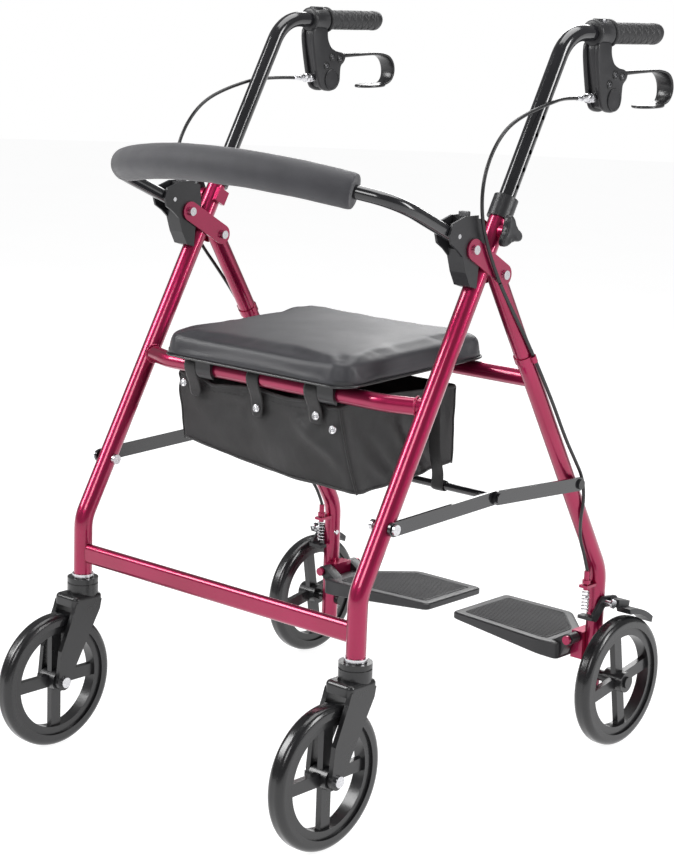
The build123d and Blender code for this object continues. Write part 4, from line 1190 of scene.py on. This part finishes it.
# oval finger pad with a rolled edge
vs, fs = [], []
K = 64
prof = [(0.15, 0.0, 2.1), (0.6, 0.0, 2.0), (0.86, 0, 2.2), (0.96, 0, 1.9), (1.0, 0, 0.6), (1.0, 0, -0.8), (0.96, 0, -1.9), (0.8, 0, -2.2), (0.15, 0, -1.6)]
for f, _, z in prof:
    for k in range(K):
        a = 2 * math.pi * k / K
        y = 352 + 28 * f * math.cos(a)
        vs.append(V(255 + 20.5 * f * math.sin(a), y, 913.2 + z + (y - 352) * 0.05))
for i in range(len(prof) - 1):
    for k in range(K):
        l = (k + 1) % K
        fs.append((i * K + k, i * K + l, (i + 1) * K + l, (i + 1) * K + k))
fs.append(tuple(range(K)))
fs.append(tuple((len(prof) - 1) * K + k for k in range(K)))
finger = obj_of("finger", vs, fs, "satin", True, 45)
lever = join("lever_left_loop", [band, finger])
for s in ("left", "right"):
    h = housing if s == "left" else mirrored(housing, "brake_body_right")
    l = lever if s == "left" else mirrored(lever, "lever_right_loop")
    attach(h, "handle_" + s)
    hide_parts("brake_housing_" + s)
    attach(l, "lever_" + s)
    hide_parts("brake_lever_" + s)

# ------------------------------------------------------------------ footrests
PLAN = [(24, 262), (24, 398), (150, 398), (207, 338), (226, 330), (226, 250), (193, 246)]


def inset_poly(pts, d):
    out = []
    m = len(pts)
    area2 = sum(pts[i][0] * pts[(i + 1) % m][1] - pts[(i + 1) % m][0] * pts[i][1] for i in range(m))
    sgn = 1 if area2 > 0 else -1
    for i in range(m):
        p0, p1, p2 = Vector(pts[i - 1]), Vector(pts[i]), Vector(pts[(i + 1) % m])
        a, b = (p1 - p0).normalized(), (p2 - p1).normalized()
        na, nb = Vector((-a.y, a.x)) * sgn, Vector((-b.y, b.x)) * sgn
        k = (na + nb)
        k = k / max(k.dot(na), 0.35)
        out.append(tuple(p1 + k * d))
    return out


def round_poly(pts, r, nseg=5):
    out = []
    m = len(pts)
    for i in range(m):
        p0, p1, p2 = Vector(pts[i - 1]), Vector(pts[i]), Vector(pts[(i + 1) % m])
        a, b = (p0 - p1), (p2 - p1)
        c = min(r, a.length * 0.4, b.length * 0.4)
        s, e = p1 + a.normalized() * c, p1 + b.normalized() * c
        for k in range(nseg):
            t = k / (nseg - 1)
            out.append(tuple((1 - t) ** 2 * s + 2 * t * (1 - t) * p1 + t * t * e))
    return out


outer = round_poly(PLAN, 9)
in1 = round_poly(inset_poly(PLAN, 1.6), 8)
in3 = round_poly(inset_poly(PLAN, 3.0), 8)


def under(x):
    return 134.0 - max(0.0, min(1.0, (x - 24) / 202)) * 14.5


def foot_loop(pts, zf):
    return [(p[0], p[1], zf(p[0]) if callable(zf) else zf) for p in pts]


f_loops = [foot_loop(round_poly(inset_poly(PLAN, 5.0), 7), lambda x: under(x) + 2.5), foot_loop(round_poly(inset_poly(PLAN, 4.0), 7), under), foot_loop(in1, under), foot_loop(outer, lambda x: under(x) + 1.4), foot_loop(outer, 142.6), foot_loop(in1, 144.1), foot_loop(in3, 144.4)]
BORDER = [(38, 275), (38, 385), (145, 385), (194, 333), (200, 322), (200, 262), (188, 260)]
f_loops += [foot_loop(round_poly(inset_poly(PLAN, 9.0), 7), 144.4)]
vs, fs = [], []
m = len(outer)
for lp in f_loops:
    vs += [V(*p) for p in lp]
for k in range(len(f_loops) - 1):
    for i in range(m):
        j = (i + 1) % m
        fs.append((k * m + i, k * m + j, (k + 1) * m + j, (k + 1) * m + i))
fs.append(tuple(range(m)))
fs.append(tuple(range((len(f_loops) - 1) * m, len(f_loops) * m)))
plate = obj_of("foot_plate", vs, fs, "plastic", True, 35)
# inset tread mat with fine ribs
mat_o = extrude_yz("x", [(0, 0), (1, 0), (1, 1)], 0, 1, "mat")
bpy.data.objects.remove(mat_o)
b0 = round_poly(BORDER, 6)
b1 = round_poly(inset_poly(BORDER, 1.2), 6)
vs, fs = [], []
m = len(b0)
for pts, z in ((b0, 144.2), (b0, 144.9), (b1, 145.3)):
    vs += [V(p[0], p[1], z) for p in pts]
for k in range(2):
    for i in range(m):
        j = (i + 1) % m
        fs.append((k * m + i, k * m + j, (k + 1) * m + j, (k + 1) * m + i))
fs += [tuple(range(m)), tuple(range(2 * m, 3 * m))]
tread = obj_of("tread", vs, fs, "mat", True, 35)
ribs = []
lo, hi = 276, 384
for k in range(22):
    y = 266 + k * 5.4
    # rib clipped to the mat's outline
    xs = []
    for i in range(m):
        p, q = b1[i], b1[(i + 1) % m]
        if (p[1] - y) * (q[1] - y) < 0:
            xs.append(p[0] + (q[0] - p[0]) * (y - p[1]) / (q[1] - p[1]))
    if len(xs) >= 2:
        a, b = min(xs) + 2.5, max(xs) - 2.5
        if b - a > 10:
            ribs.append(tube_along("rib", [V(a, y, 145.2), V((a + b) / 2, y, 145.2), V(b, y, 145.2)], 0.0007, "mat", 8))
ears = []
for y0, y1 in ((259.8, 279.8), (320.2, 340.2)):
    ears.append(lathe("ear", [(0, 3.7), (0, 7.2), (1.0, 8.0), (y1 - y0 - 1.0, 8.0), (y1 - y0, 7.2), (y1 - y0, 3.7)], V(238.5, y0, 151), (0, 1, 0), "plastic", 40, 35))
    web = obj_of("web", [V(x, y, z) for y in (y0, y1) for x, z in ((238.5, 158.4), (231, 157), (214, 146), (206, 143), (206, 128), (226, 123), (234, 140), (238.5, 143.5))],
                 [tuple(range(8)), tuple(range(15, 7, -1))] + [(i, (i + 1) % 8, 8 + (i + 1) % 8, 8 + i) for i in range(8)], "plastic", True, 35)
    ears.append(bevelled(web, 0.0012, 2))
    ears.append(lathe("bolt", [(0, 4.5), (1.6, 4.5), (2.4, 3.6), (2.4, 2.0), (1.4, 1.8), (1.4, 0.1)], V(238.5, y0 if y0 < 300 else y1, 151), (0, -1 if y0 < 300 else 1, 0), "steel", 30, 30))
foot = join("footrest_plate_left", [plate, tread, *ribs, *ears])
for s in ("left", "right"):
    o = foot if s == "left" else mirrored(foot, "footrest_plate_right")
    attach(o, "footrest_body_" + s)
    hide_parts("footrest_" + s)

# ------------------------------------------------------------------ small hardware and trim
def helix(name, centre, radius, wire, z0, z1, turns, mat="steel"):
    pts = []
    k = int(turns * 18)
    for i in range(k + 1):
        t = i / k
        a = 2 * math.pi * turns * t
        # end turns close up
        e = t + 0.035 * math.sin(2 * math.pi * t) * -1
        pts.append(V(centre[0] + radius * math.cos(a), centre[1] + radius * math.sin(a), z0 + (z1 - z0) * e))
    return tube_along(name, pts, wire / 1000, mat, 10)


KZ = 759.7
KY = -232.3 + math.tan(math.radians(28.88)) * (KZ - 319.4)
vs, fs = [], []
K = 120
# three-winged knob: rounded wings, dished face, boss behind
prof = [(0.0, 0.30), (0.0, 0.86), (0.8, 0.95), (2.2, 1.0), (7.0, 1.0), (9.2, 0.965), (10.4, 0.9), (10.9, 0.8), (10.2, 0.6), (9.6, 0.4), (9.4, 0.1)]
for a_mm, f in prof:
    for k in range(K):
        t = 2 * math.pi * k / K
        r = 12.2 + 11.0 * (0.5 + 0.5 * math.cos(3 * (t - math.radians(100)))) ** 1.9
        vs.append(V(275.4 + a_mm, KY + r * f * math.cos(t), KZ + r * f * math.sin(t)))
for i in range(len(prof) - 1):
    for k in range(K):
        l = (k + 1) % K
        fs.append((i * K + k, i * K + l, (i + 1) * K + l, (i + 1) * K + k))
fs += [tuple(range(K)), tuple((len(prof) - 1) * K + k for k in range(K))]
wing = obj_of("wings", vs, fs, "plastic", True, 40)
hub = lathe("hub", [(-2.6, 5.0), (-2.6, 8.0), (-2.0, 8.6), (0.5, 8.6), (0.5, 5.0)], V(275.4, KY, KZ), (1, 0, 0), "plastic", 48, 35)
stud = lathe("stud", [(0, 3.9), (9.5, 3.9)], V(266.6, KY, KZ), (1, 0, 0), "steel", 32, 35)
knob = join("knob_wing_left", [wing, hub, stud])
for s in ("left", "right"):
    o = knob if s == "left" else mirrored(knob, "knob_wing_right")
    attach(o, "knob_" + s)
    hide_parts("height_knob_" + s)

# weld beads where the seat tube meets the legs
TF = math.tan(math.radians(28.88))
SIN, COS = math.sin(math.radians(28.88)), math.cos(math.radians(28.88))


def weld(name, c, axis, r, body, rx=1.0):
    axis = Vector(axis).normalized()
    ref = Vector((0, 0, 1))
    u = axis.cross(ref).normalized()
    w = axis.cross(u)
    pts, rad = [], []
    k = 96
    for i in range(k + 1):
        t = 2 * math.pi * i / k
        pts.append(c + (u * math.cos(t) + w * math.sin(t) * rx) * (r / 1000))
        rad.append(0.0015 + 0.00035 * abs(math.sin(t * 11)))
    o = tube_along(name, pts, rad, "red", 10, False)
    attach(o, body)
    return o


seat_y = -232.3 + TF * (542.5 - 319.4)
for s, sx in (("left", 1), ("right", -1)):
    d = Vector((-59 * sx, -(seat_y + 130), 0)).normalized()
    weld("weld_seat_" + s, V(255 * sx, seat_y, 542.5) + d * 0.0148, d, 11.6, "front_frame", 1.06)
